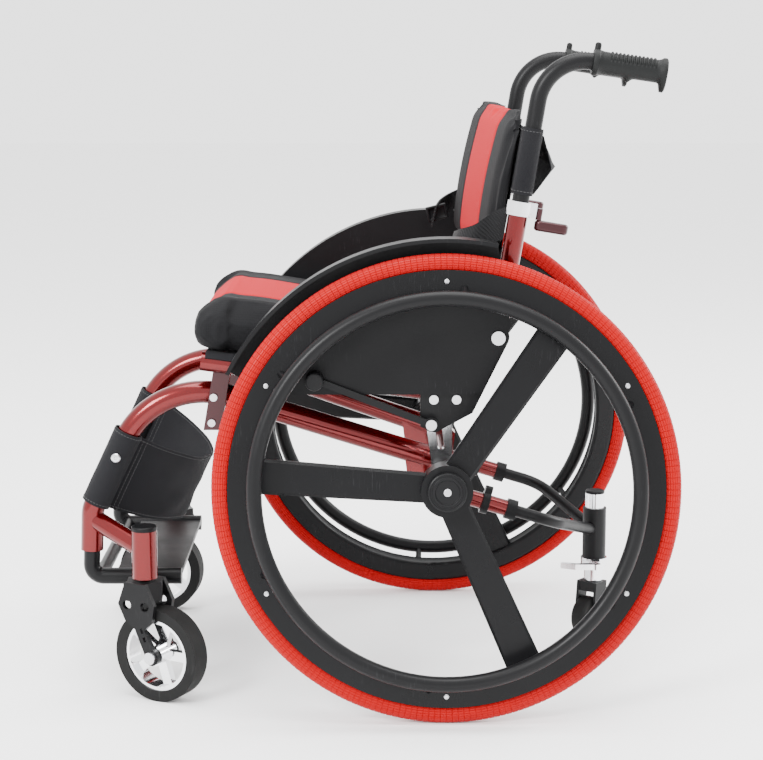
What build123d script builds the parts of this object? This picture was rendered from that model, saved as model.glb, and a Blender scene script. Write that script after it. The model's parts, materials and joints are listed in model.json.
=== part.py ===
from build123d import *
from math import cos, radians, sin, tan
import os

os.makedirs("parts", exist_ok=True)

# A rigid-frame active wheelchair with cambered, quick-release rear wheels, front casters on
# outriggers, a forward-folding backrest and one anti-tip roller behind.
# Millimetres. The chair faces -Y, its left side is +X, +Z is up, the floor is Z = 0.
# Side-view places are given as (distance behind the rear axle, height above the floor).

# ---- Rear wheels ----
wheel_radius = 300.0
tyre_thick = 25.0
camber = 7.0
hub_x = 275.0
rim_bed = 4.0
rim_depth = 29.0
rim_width = 25.0
spoke_turns = (55.0, 176.0, 294.0)
spoke_root_width = 38.0
spoke_tip_width = 46.0
spoke_thick = 14.0
spoke_bevel = 3.5
hub_radius = 33.0
hub_inboard = 30.0
hub_outboard = 34.0
hub_cap_radius = 25.0
hub_cap_height = 12.0
hub_recess_radius = 12.5
hub_recess_depth = 9.0
handrim_step = 7.0
handrim_tube = 20.0
handrim_offset = 42.0
handrim_posts = 6
handrim_post_radius = 4.5
hub_bearing_radius = 14.0
hub_bearing_width = 9.0
axle_radius = 6.35
axle_head_radius = 9.5
axle_head_height = 7.0
axle_inboard = 82.0
button_radius = 5.0
button_height = 6.0
button_travel = 3.0

# ---- Frame ----
front_reach = 487.0
main_tube_radius = 15.0
main_front_x = 150.0
main_rear_x = 115.0
leg_foot = (-472.0, 187.0)
leg_knee = (-469.8, 243.0)
leg_top = (-382.0, 427.0)
main_tail = (-12.0, 305.0)
knee_bend = 40.0
top_bend = 115.0
rail_radius = 12.5
rail_x = 185.0
rail_front = (-318.0, 449.0)
rail_rear = (30.0, 403.0)
camber_tube_radius = 17.0
camber_tube_end = 188.0
sleeve_radius = 14.0
axle_block_width = 22.0
drawn_axle_height = 287.175
cross_tube_radius = 11.0
cross_tube_y = -262.0
weld_gap = 0.1
fit_gap = 0.05
soft_gap = 0.3

# ---- Footrest ----
foot_tube_radius = 11.0
foot_insert = 30.0
foot_bore_depth = 54.0
foot_rail_z = 150.0
foot_rail_end = -352.0
footplate_front = -440.0
footplate_thick = 6.0

# ---- Front casters ----
caster_x = 205.0
caster_y = -395.0
caster_housing_radius = 17.0
caster_housing_low = 163.0
caster_housing_high = 227.0
caster_cap_height = 6.0
caster_arm_radius = 13.0
caster_arm_start_z = 229.0
caster_arm_end_z = 200.0
caster_stem_radius = 6.0
caster_bearing_radius = 13.0
caster_bearing_width = 8.0
caster_radius = 62.5
caster_trail = 24.0
caster_tyre_width = 29.0
caster_rim_radius = 48.0
caster_hub_radius = 13.0
caster_axle_radius = 4.0
fork_inner = 18.0
fork_plate = 6.5
fork_crown_length = 30.0
fork_foot_radius = 11.0
fork_hole_radius = 6.5
caster_turn = {"left": 28.0, "right": 172.0}

# ---- Backrest ----
post_x = 189.0
post_lean = 9.3
hinge_y = 68.0
hinge_z = 484.0
post_radius = 12.7
post_top = 162.0
push_tube_radius = 11.0
push_insert = 118.0
handle_rise = 365.0
handle_reach = 155.0
handle_drop = 8.4
handle_bend = 60.0
grip_radius = 15.5
grip_length = 95.0
collar_radius = 16.5
collar_height = 18.0
lever_length = 44.0
lever_pin_radius = 4.0
hinge_bolt_radius = 5.0
plate_gap = 1.3
plate_thick = 5.0

# ---- Seat and soft parts ----
cushion_half_width = 193.0
cushion_thick = 70.0
cushion_front = -337.0
cushion_rear = 26.0
sling_thick = 3.0
sling_rear = -36.0
guard_x = 212.0
guard_thick = 5.0
fender_inner = 312.0
fender_outer = 317.0
fender_reach = 246.0
back_pad_half_width = 172.0
back_pad_low = 88.0
back_pad_high = 290.0
back_pad_front = 52.0
strap_sag = 115.0
strap_thick = 4.0
strap_half_height = 54.0
strap_loose = 1.3

# ---- Anti-tip roller ----
socket_x = 120.0
socket_front = (-4.0, 263.5)
socket_rear = (100.0, 232.3)
socket_radius = 11.0
arm_radius = 8.0
arm_insert = 75.0
roller_y = 221.0
roller_housing_radius = 16.5
roller_housing_low = 137.0
roller_housing_high = 209.0
roller_stem_radius = 13.5
roller_radius = 28.0
roller_z = 53.0
roller_trail = 14.0
roller_turn = 130.0
roller_width = 22.0
clamp_height = 12.0
clamp_lug_length = 14.0
antitip_eye_radius = 6.0

# ---- Places worked out from the sizes above ----
axle_y = (front_reach - wheel_radius) / 2
tyre_radius = tyre_thick / 2
tyre_ring = wheel_radius - tyre_radius
rim_outer = wheel_radius - tyre_thick + rim_bed
rim_inner = rim_outer - rim_depth
handrim_radius = rim_inner - handrim_step
lean = radians(camber)
hub_z = tyre_ring * cos(lean) + tyre_radius
camber_tube_z = hub_z - (hub_x - camber_tube_end) * tan(lean)
axle_lift = camber_tube_z - drawn_axle_height
hub = Vector(hub_x, axle_y, hub_z)
axle_dir = Vector(cos(lean), 0, sin(lean))
wheel_plane = Plane(origin=hub, x_dir=(0, 1, 0), z_dir=axle_dir)
wheel_section = Plane(origin=hub, x_dir=(0, 1, 0), z_dir=Vector(0, 1, 0).cross(axle_dir))
axle_line = Axis(hub, axle_dir)
SIDES = (("left", 1), ("right", -1))


def side(x):
    """The side-view plane at x: its X runs back from the rear axle, its Y runs up."""
    return Plane(origin=(x, axle_y, 0), x_dir=(0, 1, 0), z_dir=(1, 0, 0))


def at(x, place):
    """A side-view place (behind the axle, up) at x."""
    return Vector(x, axle_y + place[0], place[1])


def save(piece, name):
    piece.part.label = name
    export_step(piece.part, f"parts/{name}.step")


def mirrored(piece):
    """The right-hand copy of a left-hand piece."""
    with BuildPart() as copy:
        mirror(piece.part, about=Plane.YZ)
    return copy


def bent_tube(points, bends, radius, bore=0.0):
    """A round tube whose straight runs are joined by bends."""
    with BuildPart() as tube:
        with BuildLine() as path:
            FilletPolyline(*points, radius=bends)
        with BuildSketch(Plane(origin=path.line @ 0, z_dir=path.line % 0)):
            Circle(radius)
            if bore:
                Circle(bore, mode=Mode.SUBTRACT)
        sweep(path=path.line)
    return tube


def rod(start, end, radius, bore=0.0):
    """A straight round bar or tube from start to end."""
    run = end - start
    with BuildPart() as bar:
        with BuildSketch(Plane(origin=start, z_dir=run)):
            Circle(radius)
            if bore:
                Circle(bore, mode=Mode.SUBTRACT)
        extrude(amount=run.length)
    return bar


# ---- Rear wheels: tyre, one-piece wheel, handrim, bearings ----
with BuildPart() as tyre:
    with BuildSketch(wheel_section):
        with Locations((tyre_ring, 0)):
            Circle(tyre_radius)
    revolve(axis=axle_line)
tyres = {"left": tyre, "right": mirrored(tyre)}

with BuildPart() as wheel:
    with BuildSketch(wheel_section) as rim_profile:
        with Locations(((rim_inner + rim_outer) / 2, 0)):
            Rectangle(rim_outer - rim_inner, rim_width)
        fillet(rim_profile.vertices().group_by(Axis.Y)[0], rim_width / 5)
        with Locations((tyre_ring, 0)):
            Circle(tyre_radius + fit_gap, mode=Mode.SUBTRACT)
    revolve(axis=axle_line)
    for turn in spoke_turns:
        out = wheel_plane.x_dir * cos(radians(turn)) + wheel_plane.y_dir * sin(radians(turn))
        across = out.cross(axle_dir)
        reach = rim_inner + rim_width / 5
        with BuildSketch(Plane(origin=hub + out * (hub_radius / 2), x_dir=across, z_dir=out)) as root:
            Rectangle(spoke_root_width, spoke_thick)
            chamfer(root.vertices(), spoke_bevel)
        with BuildSketch(Plane(origin=hub + out * reach, x_dir=across, z_dir=out)) as tip:
            Rectangle(spoke_tip_width, spoke_thick)
            chamfer(tip.vertices(), spoke_bevel)
        loft()
    with BuildSketch(wheel_plane.offset(-hub_inboard)):
        Circle(hub_radius)
    extrude(amount=hub_inboard + hub_outboard)
    with BuildSketch(wheel_plane.offset(hub_outboard)):
        Circle(hub_cap_radius)
    extrude(amount=hub_cap_height)
    with BuildSketch(wheel_plane.offset(hub_outboard + hub_cap_height)):
        Circle(hub_recess_radius)
    extrude(amount=-hub_recess_depth, mode=Mode.SUBTRACT)
    with BuildSketch(wheel_plane.offset(-hub_inboard)):
        Circle(axle_radius + 2)
    extrude(amount=hub_inboard + hub_outboard + hub_cap_height, mode=Mode.SUBTRACT)
    for low in (-hub_inboard, hub_outboard - 2 * hub_bearing_width):
        with BuildSketch(wheel_plane.offset(low)):
            Circle(hub_bearing_radius + fit_gap)
        extrude(amount=hub_bearing_width, mode=Mode.SUBTRACT)
wheels = {"left": wheel, "right": mirrored(wheel)}

with BuildPart() as hub_bearings:
    for low in (-hub_inboard, hub_outboard - 2 * hub_bearing_width):
        with BuildSketch(wheel_plane.offset(low)):
            Circle(hub_bearing_radius)
            Circle(axle_radius + fit_gap, mode=Mode.SUBTRACT)
        extrude(amount=hub_bearing_width)
bearing_sets = {"left": hub_bearings, "right": mirrored(hub_bearings)}

with BuildPart() as handrim:
    with BuildSketch(wheel_section):
        with Locations((handrim_radius, handrim_offset)):
            Circle(handrim_tube / 2)
    revolve(axis=axle_line)
    for index in range(handrim_posts):
        turn = radians(360 / handrim_posts * index + 25)
        out = wheel_plane.x_dir * cos(turn) + wheel_plane.y_dir * sin(turn)
        foot = hub + out * (rim_inner + handrim_tube / 3) + axle_dir * (rim_width / 2 + weld_gap)
        head = hub + out * handrim_radius + axle_dir * handrim_offset
        with BuildSketch(Plane(origin=foot, z_dir=axle_dir)):
            Circle(handrim_post_radius)
        with BuildSketch(Plane(origin=head, z_dir=axle_dir)):
            Circle(handrim_post_radius)
        loft()
handrims = {"left": handrim, "right": mirrored(handrim)}

head_seat = hub_outboard + hub_cap_height - hub_recess_depth + fit_gap
with BuildPart() as axle_pin:
    with BuildSketch(wheel_plane.offset(-axle_inboard)):
        Circle(axle_radius)
    extrude(amount=axle_inboard + head_seat)
    with BuildSketch(wheel_plane.offset(head_seat)):
        Circle(axle_head_radius)
    extrude(amount=axle_head_height)
    with BuildSketch(wheel_plane.offset(head_seat + axle_head_height)):
        Circle(button_radius + fit_gap)
    extrude(amount=-(button_height + button_travel), mode=Mode.SUBTRACT)
axle_pins = {"left": axle_pin, "right": mirrored(axle_pin)}

with BuildPart() as axle_button:
    with BuildSketch(wheel_plane.offset(head_seat + axle_head_height - button_height)):
        Circle(button_radius)
    extrude(amount=button_height + button_travel + 1)
    fillet(axle_button.faces().sort_by(Axis.X)[-1].edges(), 1.0)
axle_buttons = {"left": axle_button, "right": mirrored(axle_button)}

for name, _ in SIDES:
    save(tyres[name], f"rear_tyre_{name}")
    save(wheels[name], f"rear_wheel_{name}")
    save(bearing_sets[name], f"hub_bearings_{name}")
    save(handrims[name], f"handrim_{name}")
    save(axle_pins[name], f"axle_pin_{name}")
    save(axle_buttons[name], f"axle_button_{name}")

# ---- Axle: camber tube and the two cambered sleeves at its ends ----
camber_tube = rod(
    Vector(-camber_tube_end, axle_y, camber_tube_z),
    Vector(camber_tube_end, axle_y, camber_tube_z),
    camber_tube_radius,
)
save(camber_tube, "camber_tube")

with BuildPart() as axle_sleeves:
    with BuildSketch(wheel_plane.offset(-axle_inboard - 20)):
        Circle(sleeve_radius)
    extrude(amount=axle_inboard + 20 - hub_inboard - 1.5)
    with BuildSketch(wheel_plane.offset(-axle_inboard)):
        Circle(axle_radius + fit_gap)
    extrude(amount=axle_inboard, mode=Mode.SUBTRACT)
    split(bisect_by=Plane.YZ.offset(camber_tube_end + weld_gap), keep=Keep.TOP)
    mirror(about=Plane.YZ)
save(axle_sleeves, "axle_sleeves")

# ---- Main tubes: leg, knee and the run back to the axle block ----
main_points = [
    at(main_front_x, leg_foot),
    at(main_front_x, leg_knee),
    at(main_front_x, leg_top),
    at(main_rear_x, (main_tail[0], main_tail[1] + axle_lift)),
]
leg_run = (main_points[1] - main_points[0]).normalized()
main_bends = (knee_bend, top_bend)
plain_main = bent_tube(main_points, main_bends, main_tube_radius)
main_cutter = bent_tube(main_points, main_bends, main_tube_radius + weld_gap)
with BuildPart() as main_tube:
    add(plain_main.part)
    with BuildSketch(side(main_rear_x - axle_block_width / 2)):
        with BuildLine():
            block = [(-52, 318), (-48, 286), (-26, 268), (22, 262), (26, 296), (6, 316), (-52, 318)]
            Polyline(*[(back, up + axle_lift) for back, up in block])
        make_face()
    extrude(amount=axle_block_width)
    with BuildSketch(side(main_rear_x - axle_block_width)):
        with Locations((0, camber_tube_z)):
            Circle(camber_tube_radius + weld_gap)
    extrude(amount=2 * axle_block_width, mode=Mode.SUBTRACT)
    with BuildSketch(Plane(origin=main_points[0], z_dir=leg_run)):
        Circle(foot_tube_radius + fit_gap)
    extrude(amount=foot_bore_depth, mode=Mode.SUBTRACT)
main_tubes = {"left": main_tube, "right": mirrored(main_tube)}
for name, _ in SIDES:
    save(main_tubes[name], f"main_tube_{name}")

# ---- Seat rails, the cross tube and the front brackets ----
rail_points = [at(rail_x, rail_front), at(rail_x, rail_rear)]
rail_slope = (rail_rear[1] - rail_front[1]) / (rail_rear[0] - rail_front[0])


def rail_height(y):
    """Height of the seat rails' centre line at a distance behind the axle."""
    return rail_front[1] + rail_slope * (y - rail_front[0])


plain_rail = rod(rail_points[0], rail_points[1], rail_radius)
with BuildPart() as seat_rails:
    add(plain_rail.part)
    mirror(about=Plane.YZ)
save(seat_rails, "seat_rails")

main_share = (cross_tube_y - leg_top[0]) / (main_tail[0] - leg_top[0])
cross_tube_z = leg_top[1] + main_share * (main_tail[1] + axle_lift - leg_top[1])
cross_tube_x = main_front_x + main_share * (main_rear_x - main_front_x)
plain_cross = rod(
    at(-cross_tube_x, (cross_tube_y, cross_tube_z)),
    at(cross_tube_x, (cross_tube_y, cross_tube_z)),
    cross_tube_radius,
)
right_cutter = mirrored(main_cutter)
with BuildPart() as cross_tube:
    add(plain_cross.part)
    add(main_cutter.part, mode=Mode.SUBTRACT)
    add(right_cutter.part, mode=Mode.SUBTRACT)
save(cross_tube, "cross_tube")

rail_cutter = rod(rail_points[0], rail_points[1], rail_radius + weld_gap)
bracket_bolts = ((-303.0, 400.0), (-306.0, 366.0))
bracket_inner = main_front_x - 2
with BuildPart() as front_brackets:
    with BuildSketch(side(bracket_inner)):
        with BuildLine():
            Polyline((-302, 442), (-280, 440), (-294, 356), (-317, 356), (-302, 442))
        make_face()
    extrude(amount=rail_x - 5 - bracket_inner)
    add(main_cutter.part, mode=Mode.SUBTRACT)
    add(rail_cutter.part, mode=Mode.SUBTRACT)
    for place in bracket_bolts:
        with BuildSketch(side(rail_x - 5)):
            with Locations(place):
                Circle(3 + fit_gap)
        extrude(amount=-12, mode=Mode.SUBTRACT)
    mirror(about=Plane.YZ)
save(front_brackets, "front_brackets")

# ---- Rear brackets: rail clamp, backrest hinge plate and wheel-lock ear ----
clamp_bolts = ((-14.5, 402.0), (15.0, 402.0))
lock_pivot = (-18.0, 371.0)
bracket_x = 172.0
plate_x = post_x + post_radius + plate_gap
plate_end_x = plate_x + plate_thick
with BuildPart() as rear_brackets:
    with BuildSketch(side(bracket_x)):
        with BuildLine():
            Polyline(
                (-32, 388),
                (36, 384),
                (36, rail_height(36) + rail_radius + sling_thick),
                (-32, rail_height(-32) + rail_radius + sling_thick),
                (-32, 388),
            )
        make_face()
    extrude(amount=plate_end_x - bracket_x)
    with BuildSketch(side(plate_x)):
        with BuildLine():
            Polyline(
                (-32, 366),
                (-12, 358),
                (36, 384),
                (82, 478),
                (82, 492),
                (58, 492),
                (-32, 428),
                (-32, 366),
            )
        make_face()
        with Locations((hinge_y, hinge_z)):
            Circle(15)
    extrude(amount=plate_end_x - plate_x)
    add(rail_cutter.part, mode=Mode.SUBTRACT)
    with BuildSketch(side(bracket_x)):
        with Locations((hinge_y, hinge_z)):
            Circle(hinge_bolt_radius + fit_gap)
    extrude(amount=plate_end_x, mode=Mode.SUBTRACT)
    for place in (*clamp_bolts, lock_pivot):
        with BuildSketch(side(plate_end_x)):
            with Locations(place):
                Circle(3 + fit_gap)
        extrude(amount=-10, mode=Mode.SUBTRACT)
    mirror(about=Plane.YZ)
save(rear_brackets, "rear_brackets")

# ---- Hangers: bright plates from the rear brackets down to the camber tube ----
hanger_x = 160.0
with BuildPart() as axle_hangers:
    with BuildSketch(side(hanger_x)):
        with BuildLine():
            Polyline((-30, 412), (10, 408), (12, 290 + axle_lift), (-14, 292 + axle_lift), (-30, 412))
        make_face()
        with Locations((0, camber_tube_z)):
            Circle(camber_tube_radius + 8)
            Circle(camber_tube_radius + weld_gap, mode=Mode.SUBTRACT)
        with Locations((-6, 350)):
            SlotOverall(44, 9, rotation=98, mode=Mode.SUBTRACT)
    extrude(amount=bracket_x - weld_gap - hanger_x)
    mirror(about=Plane.YZ)
save(axle_hangers, "axle_hangers")

# ---- Front casters: outrigger arms, housings, bearings, caps ----
housing_low = at(caster_x, (caster_y, caster_housing_low))
housing_high = at(caster_x, (caster_y, caster_housing_high))
housing_cutter = rod(housing_low, housing_high, caster_housing_radius + weld_gap)
arm_start = at(main_front_x, (leg_foot[0] + 4, caster_arm_start_z))
plain_arm = rod(arm_start, at(caster_x, (caster_y, caster_arm_end_z)), caster_arm_radius)
with BuildPart() as caster_arms:
    add(plain_arm.part)
    add(main_cutter.part, mode=Mode.SUBTRACT)
    add(housing_cutter.part, mode=Mode.SUBTRACT)
    mirror(about=Plane.YZ)
save(caster_arms, "caster_arms")

upright = Plane(origin=housing_low, z_dir=(0, 0, 1))
housing_length = caster_housing_high - caster_housing_low
with BuildPart() as caster_housings:
    with BuildSketch(upright):
        Circle(caster_housing_radius)
        Circle(caster_stem_radius + 2, mode=Mode.SUBTRACT)
    extrude(amount=housing_length)
    for low in (0, housing_length - caster_bearing_width):
        with BuildSketch(upright.offset(low)):
            Circle(caster_bearing_radius + fit_gap)
        extrude(amount=caster_bearing_width, mode=Mode.SUBTRACT)
    mirror(about=Plane.YZ)
save(caster_housings, "caster_housings")

with BuildPart() as caster_bearings:
    for low in (0, housing_length - caster_bearing_width):
        with BuildSketch(upright.offset(low)):
            Circle(caster_bearing_radius)
            Circle(caster_stem_radius + fit_gap, mode=Mode.SUBTRACT)
        extrude(amount=caster_bearing_width)
    mirror(about=Plane.YZ)
save(caster_bearings, "caster_bearings")

with BuildPart() as caster_caps:
    with BuildSketch(upright.offset(housing_length + weld_gap)):
        Circle(caster_housing_radius)
    extrude(amount=caster_cap_height)
    fillet(caster_caps.faces().sort_by(Axis.Z)[-1].edges(), 3)
    mirror(about=Plane.YZ)
save(caster_caps, "caster_caps")

# ---- Front casters: fork, axle, wheel and tyre, each side turned its own way ----
for name, sign in SIDES:
    turn = radians(caster_turn[name])
    trail = Vector(sign * sin(turn), cos(turn), 0)
    lateral = Vector(trail.Y, -trail.X, 0)
    foot = Vector(sign * caster_x, axle_y + caster_y, 0)
    ground = Plane(origin=foot, x_dir=trail, z_dir=(0, 0, 1))
    wheel_centre = foot + trail * caster_trail + Vector(0, 0, caster_radius)
    caster_axis = Axis(wheel_centre, lateral)
    profile = Plane(origin=wheel_centre, x_dir=(0, 0, 1), z_dir=Vector(0, 0, 1).cross(lateral))
    crown_low = 2 * caster_radius + 10

    with BuildPart() as caster_fork:
        with BuildSketch(ground.offset(caster_housing_low - 4)):
            Circle(caster_stem_radius)
        extrude(amount=housing_length + 2)
        with BuildSketch(ground.offset(crown_low)):
            RegularPolygon(fork_inner + fork_plate - 1.5, 6, major_radius=False)
            Rectangle(fork_crown_length, 2 * (fork_inner + fork_plate))
        extrude(amount=caster_housing_low - 3 - crown_low)
        for start in (fork_inner, -fork_inner - fork_plate):
            with BuildSketch(Plane(origin=foot + lateral * start, x_dir=trail, z_dir=lateral)):
                with BuildLine():
                    Polyline(
                        (-16, caster_housing_low - 3),
                        (16, caster_housing_low - 3),
                        (30, 132),
                        (26, 110),
                        (14, 98),
                        (caster_trail + 9, caster_radius),
                        (caster_trail - 9, caster_radius),
                        (-1, 98),
                        (-16, 108),
                        (-27, 130),
                        (-16, caster_housing_low - 3),
                    )
                make_face()
                with Locations((caster_trail, caster_radius)):
                    Circle(fork_foot_radius)
                    Circle(caster_axle_radius + fit_gap, mode=Mode.SUBTRACT)
                with Locations((-13, 130), (15, 130)):
                    Circle(fork_hole_radius, mode=Mode.SUBTRACT)
                with Locations((10, 97), (14, 86)):
                    SlotOverall(8, 4, rotation=112, mode=Mode.SUBTRACT)
            extrude(amount=fork_plate)
    save(caster_fork, f"caster_fork_{name}")

    with BuildPart() as caster_axle:
        end = fork_inner + fork_plate
        across = Plane(origin=wheel_centre, x_dir=trail, z_dir=lateral)
        with BuildSketch(across.offset(-end - 1)):
            Circle(caster_axle_radius)
        extrude(amount=2 * end + 2)
        for start in (end + weld_gap, -end - weld_gap - 5):
            with BuildSketch(across.offset(start)):
                Circle(8)
            extrude(amount=5)
    save(caster_axle, f"caster_axle_{name}")

    with BuildPart() as caster_wheel:
        with BuildSketch(across.offset(-caster_tyre_width / 2 + 2)):
            Circle(caster_rim_radius)
            Circle(caster_rim_radius - 5, mode=Mode.SUBTRACT)
        extrude(amount=caster_tyre_width - 4)
        with BuildSketch(across.offset(-5)):
            with PolarLocations(0, 5):
                with Locations((caster_rim_radius / 2, 0)):
                    Rectangle(caster_rim_radius - 6, 13)
        extrude(amount=10)
        with BuildSketch(across.offset(-fork_inner + 0.5)):
            Circle(caster_hub_radius)
        extrude(amount=2 * fork_inner - 1)
        with BuildSketch(across.offset(-fork_inner)):
            Circle(caster_axle_radius + fit_gap)
        extrude(amount=2 * fork_inner, mode=Mode.SUBTRACT)
    save(caster_wheel, f"caster_wheel_{name}")

    with BuildPart() as caster_tyre:
        with BuildSketch(profile) as section:
            with Locations(((caster_rim_radius + caster_radius) / 2, 0)):
                Rectangle(caster_radius - caster_rim_radius, caster_tyre_width)
            outer = section.vertices().filter_by(
                lambda v: (Vector(v) - wheel_centre).dot(Vector(0, 0, 1)) > caster_rim_radius + 2
            )
            fillet(outer, 11)
        revolve(axis=caster_axis)
        with BuildSketch(across.offset(-caster_tyre_width)):
            Circle(caster_rim_radius + fit_gap)
        extrude(amount=2 * caster_tyre_width, mode=Mode.SUBTRACT)
    save(caster_tyre, f"caster_tyre_{name}")

# ---- Footrest: bent tubes sliding in the legs, front bar and plate ----
foot_turn = (leg_foot[0] - (leg_foot[1] - foot_rail_z) * leg_run.Y / leg_run.Z, foot_rail_z)
foot_top = main_points[0] + leg_run * foot_insert
foot_points = [
    foot_top,
    at(main_front_x, foot_turn),
    at(main_front_x, (foot_rail_end, foot_rail_z)),
]
plain_foot = bent_tube(foot_points, 16, foot_tube_radius)
plain_bar = rod(
    at(-main_front_x, (foot_turn[0] + 12, foot_rail_z)),
    at(main_front_x, (foot_turn[0] + 12, foot_rail_z)),
    foot_tube_radius - 2,
)
with BuildPart() as foot_frame:
    add(plain_foot.part)
    mirror(about=Plane.YZ)
    add(plain_bar.part)
save(foot_frame, "foot_frame")

foot_rail_cutter = rod(
    at(main_front_x, (foot_turn[0], foot_rail_z)),
    at(main_front_x, (foot_rail_end + 20, foot_rail_z)),
    foot_tube_radius + weld_gap,
)
with BuildPart() as footplate:
    with BuildSketch(Plane.XY.offset(foot_rail_z)):
        with Locations((0, axle_y + (footplate_front + foot_rail_end) / 2)):
            Rectangle(2 * main_front_x, foot_rail_end - footplate_front)
    extrude(amount=footplate_thick)
    add(foot_rail_cutter.part, mode=Mode.SUBTRACT)
    mirror(foot_rail_cutter.part, about=Plane.YZ, mode=Mode.SUBTRACT)
save(footplate, "footplate")

# ---- Seat: sling across the rails, cushion on the sling ----
seat = Plane(
    origin=at(0, (0, rail_height(0))),
    x_dir=(1, 0, 0),
    z_dir=Vector(0, -rail_slope, 1),
)
sling_low = rail_radius + soft_gap
with BuildPart() as seat_sling:
    with BuildSketch(seat.offset(sling_low)):
        with Locations((0, (rail_front[0] + sling_rear) / 2)):
            Rectangle(2 * rail_x, sling_rear - rail_front[0])
    extrude(amount=sling_thick)
save(seat_sling, "seat_sling")

cushion_low = sling_low + sling_thick + soft_gap
cushion_middle = (cushion_front + cushion_rear) / 2
with BuildPart() as seat_cushion:
    with BuildSketch(seat.offset(cushion_low)):
        with Locations((0, cushion_middle)):
            RectangleRounded(2 * cushion_half_width, cushion_rear - cushion_front, 25)
    extrude(amount=cushion_thick)
    fillet(seat_cushion.faces().sort_by(Axis.Z)[-1].edges(), 20)
save(seat_cushion, "seat_cushion")

# ---- Backrest: posts on the hinge bolts, clamps, push tubes, grips, sling, pad ----
recline = radians(post_lean)
hinge = at(0, (hinge_y, hinge_z))
back = Plane(origin=hinge, x_dir=(1, 0, 0), z_dir=(0, sin(recline), cos(recline)))


def on_post(distance):
    """A place on the left post's centre line, a distance above the hinge."""
    return Vector(post_x, hinge.Y, hinge.Z) + back.z_dir * distance


with BuildPart() as back_posts:
    with BuildSketch(back.offset(-post_radius)):
        with Locations((post_x, 0)):
            Circle(post_radius)
    extrude(amount=post_top + post_radius)
    with BuildSketch(back.offset(post_top)):
        with Locations((post_x, 0)):
            Circle(push_tube_radius + fit_gap)
    extrude(amount=-push_insert - 30, mode=Mode.SUBTRACT)
    with BuildSketch(Plane(origin=on_post(0) - Vector(post_radius + 5, 0, 0), z_dir=(1, 0, 0))):
        Circle(hinge_bolt_radius + fit_gap)
    extrude(amount=2 * post_radius + 10, mode=Mode.SUBTRACT)
    mirror(about=Plane.YZ)
save(back_posts, "back_posts")

collar_low = post_top - 4
with BuildPart() as post_collars:
    with BuildSketch(back.offset(collar_low)):
        with Locations((post_x, 0)):
            Circle(collar_radius)
        with Locations((post_x, collar_radius)):
            Rectangle(12, 12)
        with Locations((post_x, 0)):
            Circle(post_radius + fit_gap, mode=Mode.SUBTRACT)
    extrude(amount=4)
    with BuildSketch(back.offset(post_top + weld_gap)):
        with Locations((post_x, 0)):
            Circle(collar_radius)
        with Locations((post_x, collar_radius)):
            Rectangle(12, 12)
        with Locations((post_x, 0)):
            Circle(push_tube_radius + fit_gap, mode=Mode.SUBTRACT)
    extrude(amount=collar_height - 4)
    with BuildSketch(back.offset(collar_low)):
        with Locations((post_x, collar_radius + 3)):
            Rectangle(12, 6)
    extrude(amount=collar_height)
    mirror(about=Plane.YZ)
save(post_collars, "post_collars")

lever_y = collar_radius + 6 + soft_gap
lever_top = collar_low - 2
with BuildPart() as post_lever:
    with BuildSketch(back.offset(lever_top)):
        with Locations((post_x, lever_y + lever_length / 2)):
            SlotOverall(lever_length, 15, rotation=90)
    extrude(amount=-14)
    fillet(post_lever.edges().filter_by(GeomType.CIRCLE), 4)
    with BuildSketch(back.offset(lever_top)):
        with Locations((post_x, lever_y + lever_pin_radius)):
            Circle(lever_pin_radius)
    extrude(amount=collar_height - 3)
post_levers = {"left": post_lever, "right": mirrored(post_lever)}
for name, _ in SIDES:
    save(post_levers[name], f"post_lever_{name}")

push_foot = on_post(post_top - push_insert)
handle_corner = on_post(handle_rise)
grip_run = Vector(0, cos(radians(handle_drop)), -sin(radians(handle_drop)))
handle_tip = handle_corner + grip_run * handle_reach
plain_push = bent_tube(
    [push_foot, handle_corner, handle_tip - grip_run],
    handle_bend,
    push_tube_radius,
)
with BuildPart() as push_tubes:
    add(plain_push.part)
    mirror(about=Plane.YZ)
save(push_tubes, "push_tubes")

grip_foot = handle_tip - grip_run * grip_length
grip = Plane(origin=grip_foot, x_dir=(1, 0, 0), z_dir=grip_run)
with BuildPart() as hand_grips:
    with BuildSketch(grip):
        Circle(grip_radius)
    extrude(amount=grip_length)
    with BuildSketch(grip.offset(grip_length - 5)):
        Circle(grip_radius + 3)
        with Locations((0, -4 if grip.y_dir.Z > 0 else 4)):
            Circle(grip_radius + 1)
    extrude(amount=5)
    with BuildSketch(grip):
        Circle(grip_radius + 2)
    extrude(amount=7)
    with BuildSketch(Plane(origin=grip_foot + grip_run * 5, x_dir=(1, 0, 0), z_dir=(0, 0, 1))):
        Circle(4)
    extrude(amount=grip_radius + 8)
    with BuildSketch(grip):
        Circle(push_tube_radius + weld_gap)
    extrude(amount=grip_length - 1 + weld_gap, mode=Mode.SUBTRACT)
    mirror(about=Plane.YZ)
save(hand_grips, "hand_grips")

sling_front = push_tube_radius + soft_gap + sling_thick
sleeve_low = post_top + collar_height + 4
sleeve_high = 272.0
with BuildPart() as back_sling:
    with BuildSketch(back.offset(sleeve_low)):
        for x in (-post_x, post_x):
            with Locations((x, 0)):
                Circle(sling_front)
        with Locations((0, sling_thick / 2 - sling_front)):
            Rectangle(2 * post_x, sling_thick)
        for x in (-post_x, post_x):
            with Locations((x, 0)):
                Circle(push_tube_radius + soft_gap, mode=Mode.SUBTRACT)
    extrude(amount=sleeve_high - sleeve_low)
    with BuildSketch(back.offset(back_pad_low + 5)):
        with Locations((0, sling_thick / 2 - sling_front)):
            Rectangle(2 * (post_x - collar_radius - 6), sling_thick)
    extrude(amount=sleeve_high - back_pad_low - 5)
save(back_sling, "back_sling")

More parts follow.
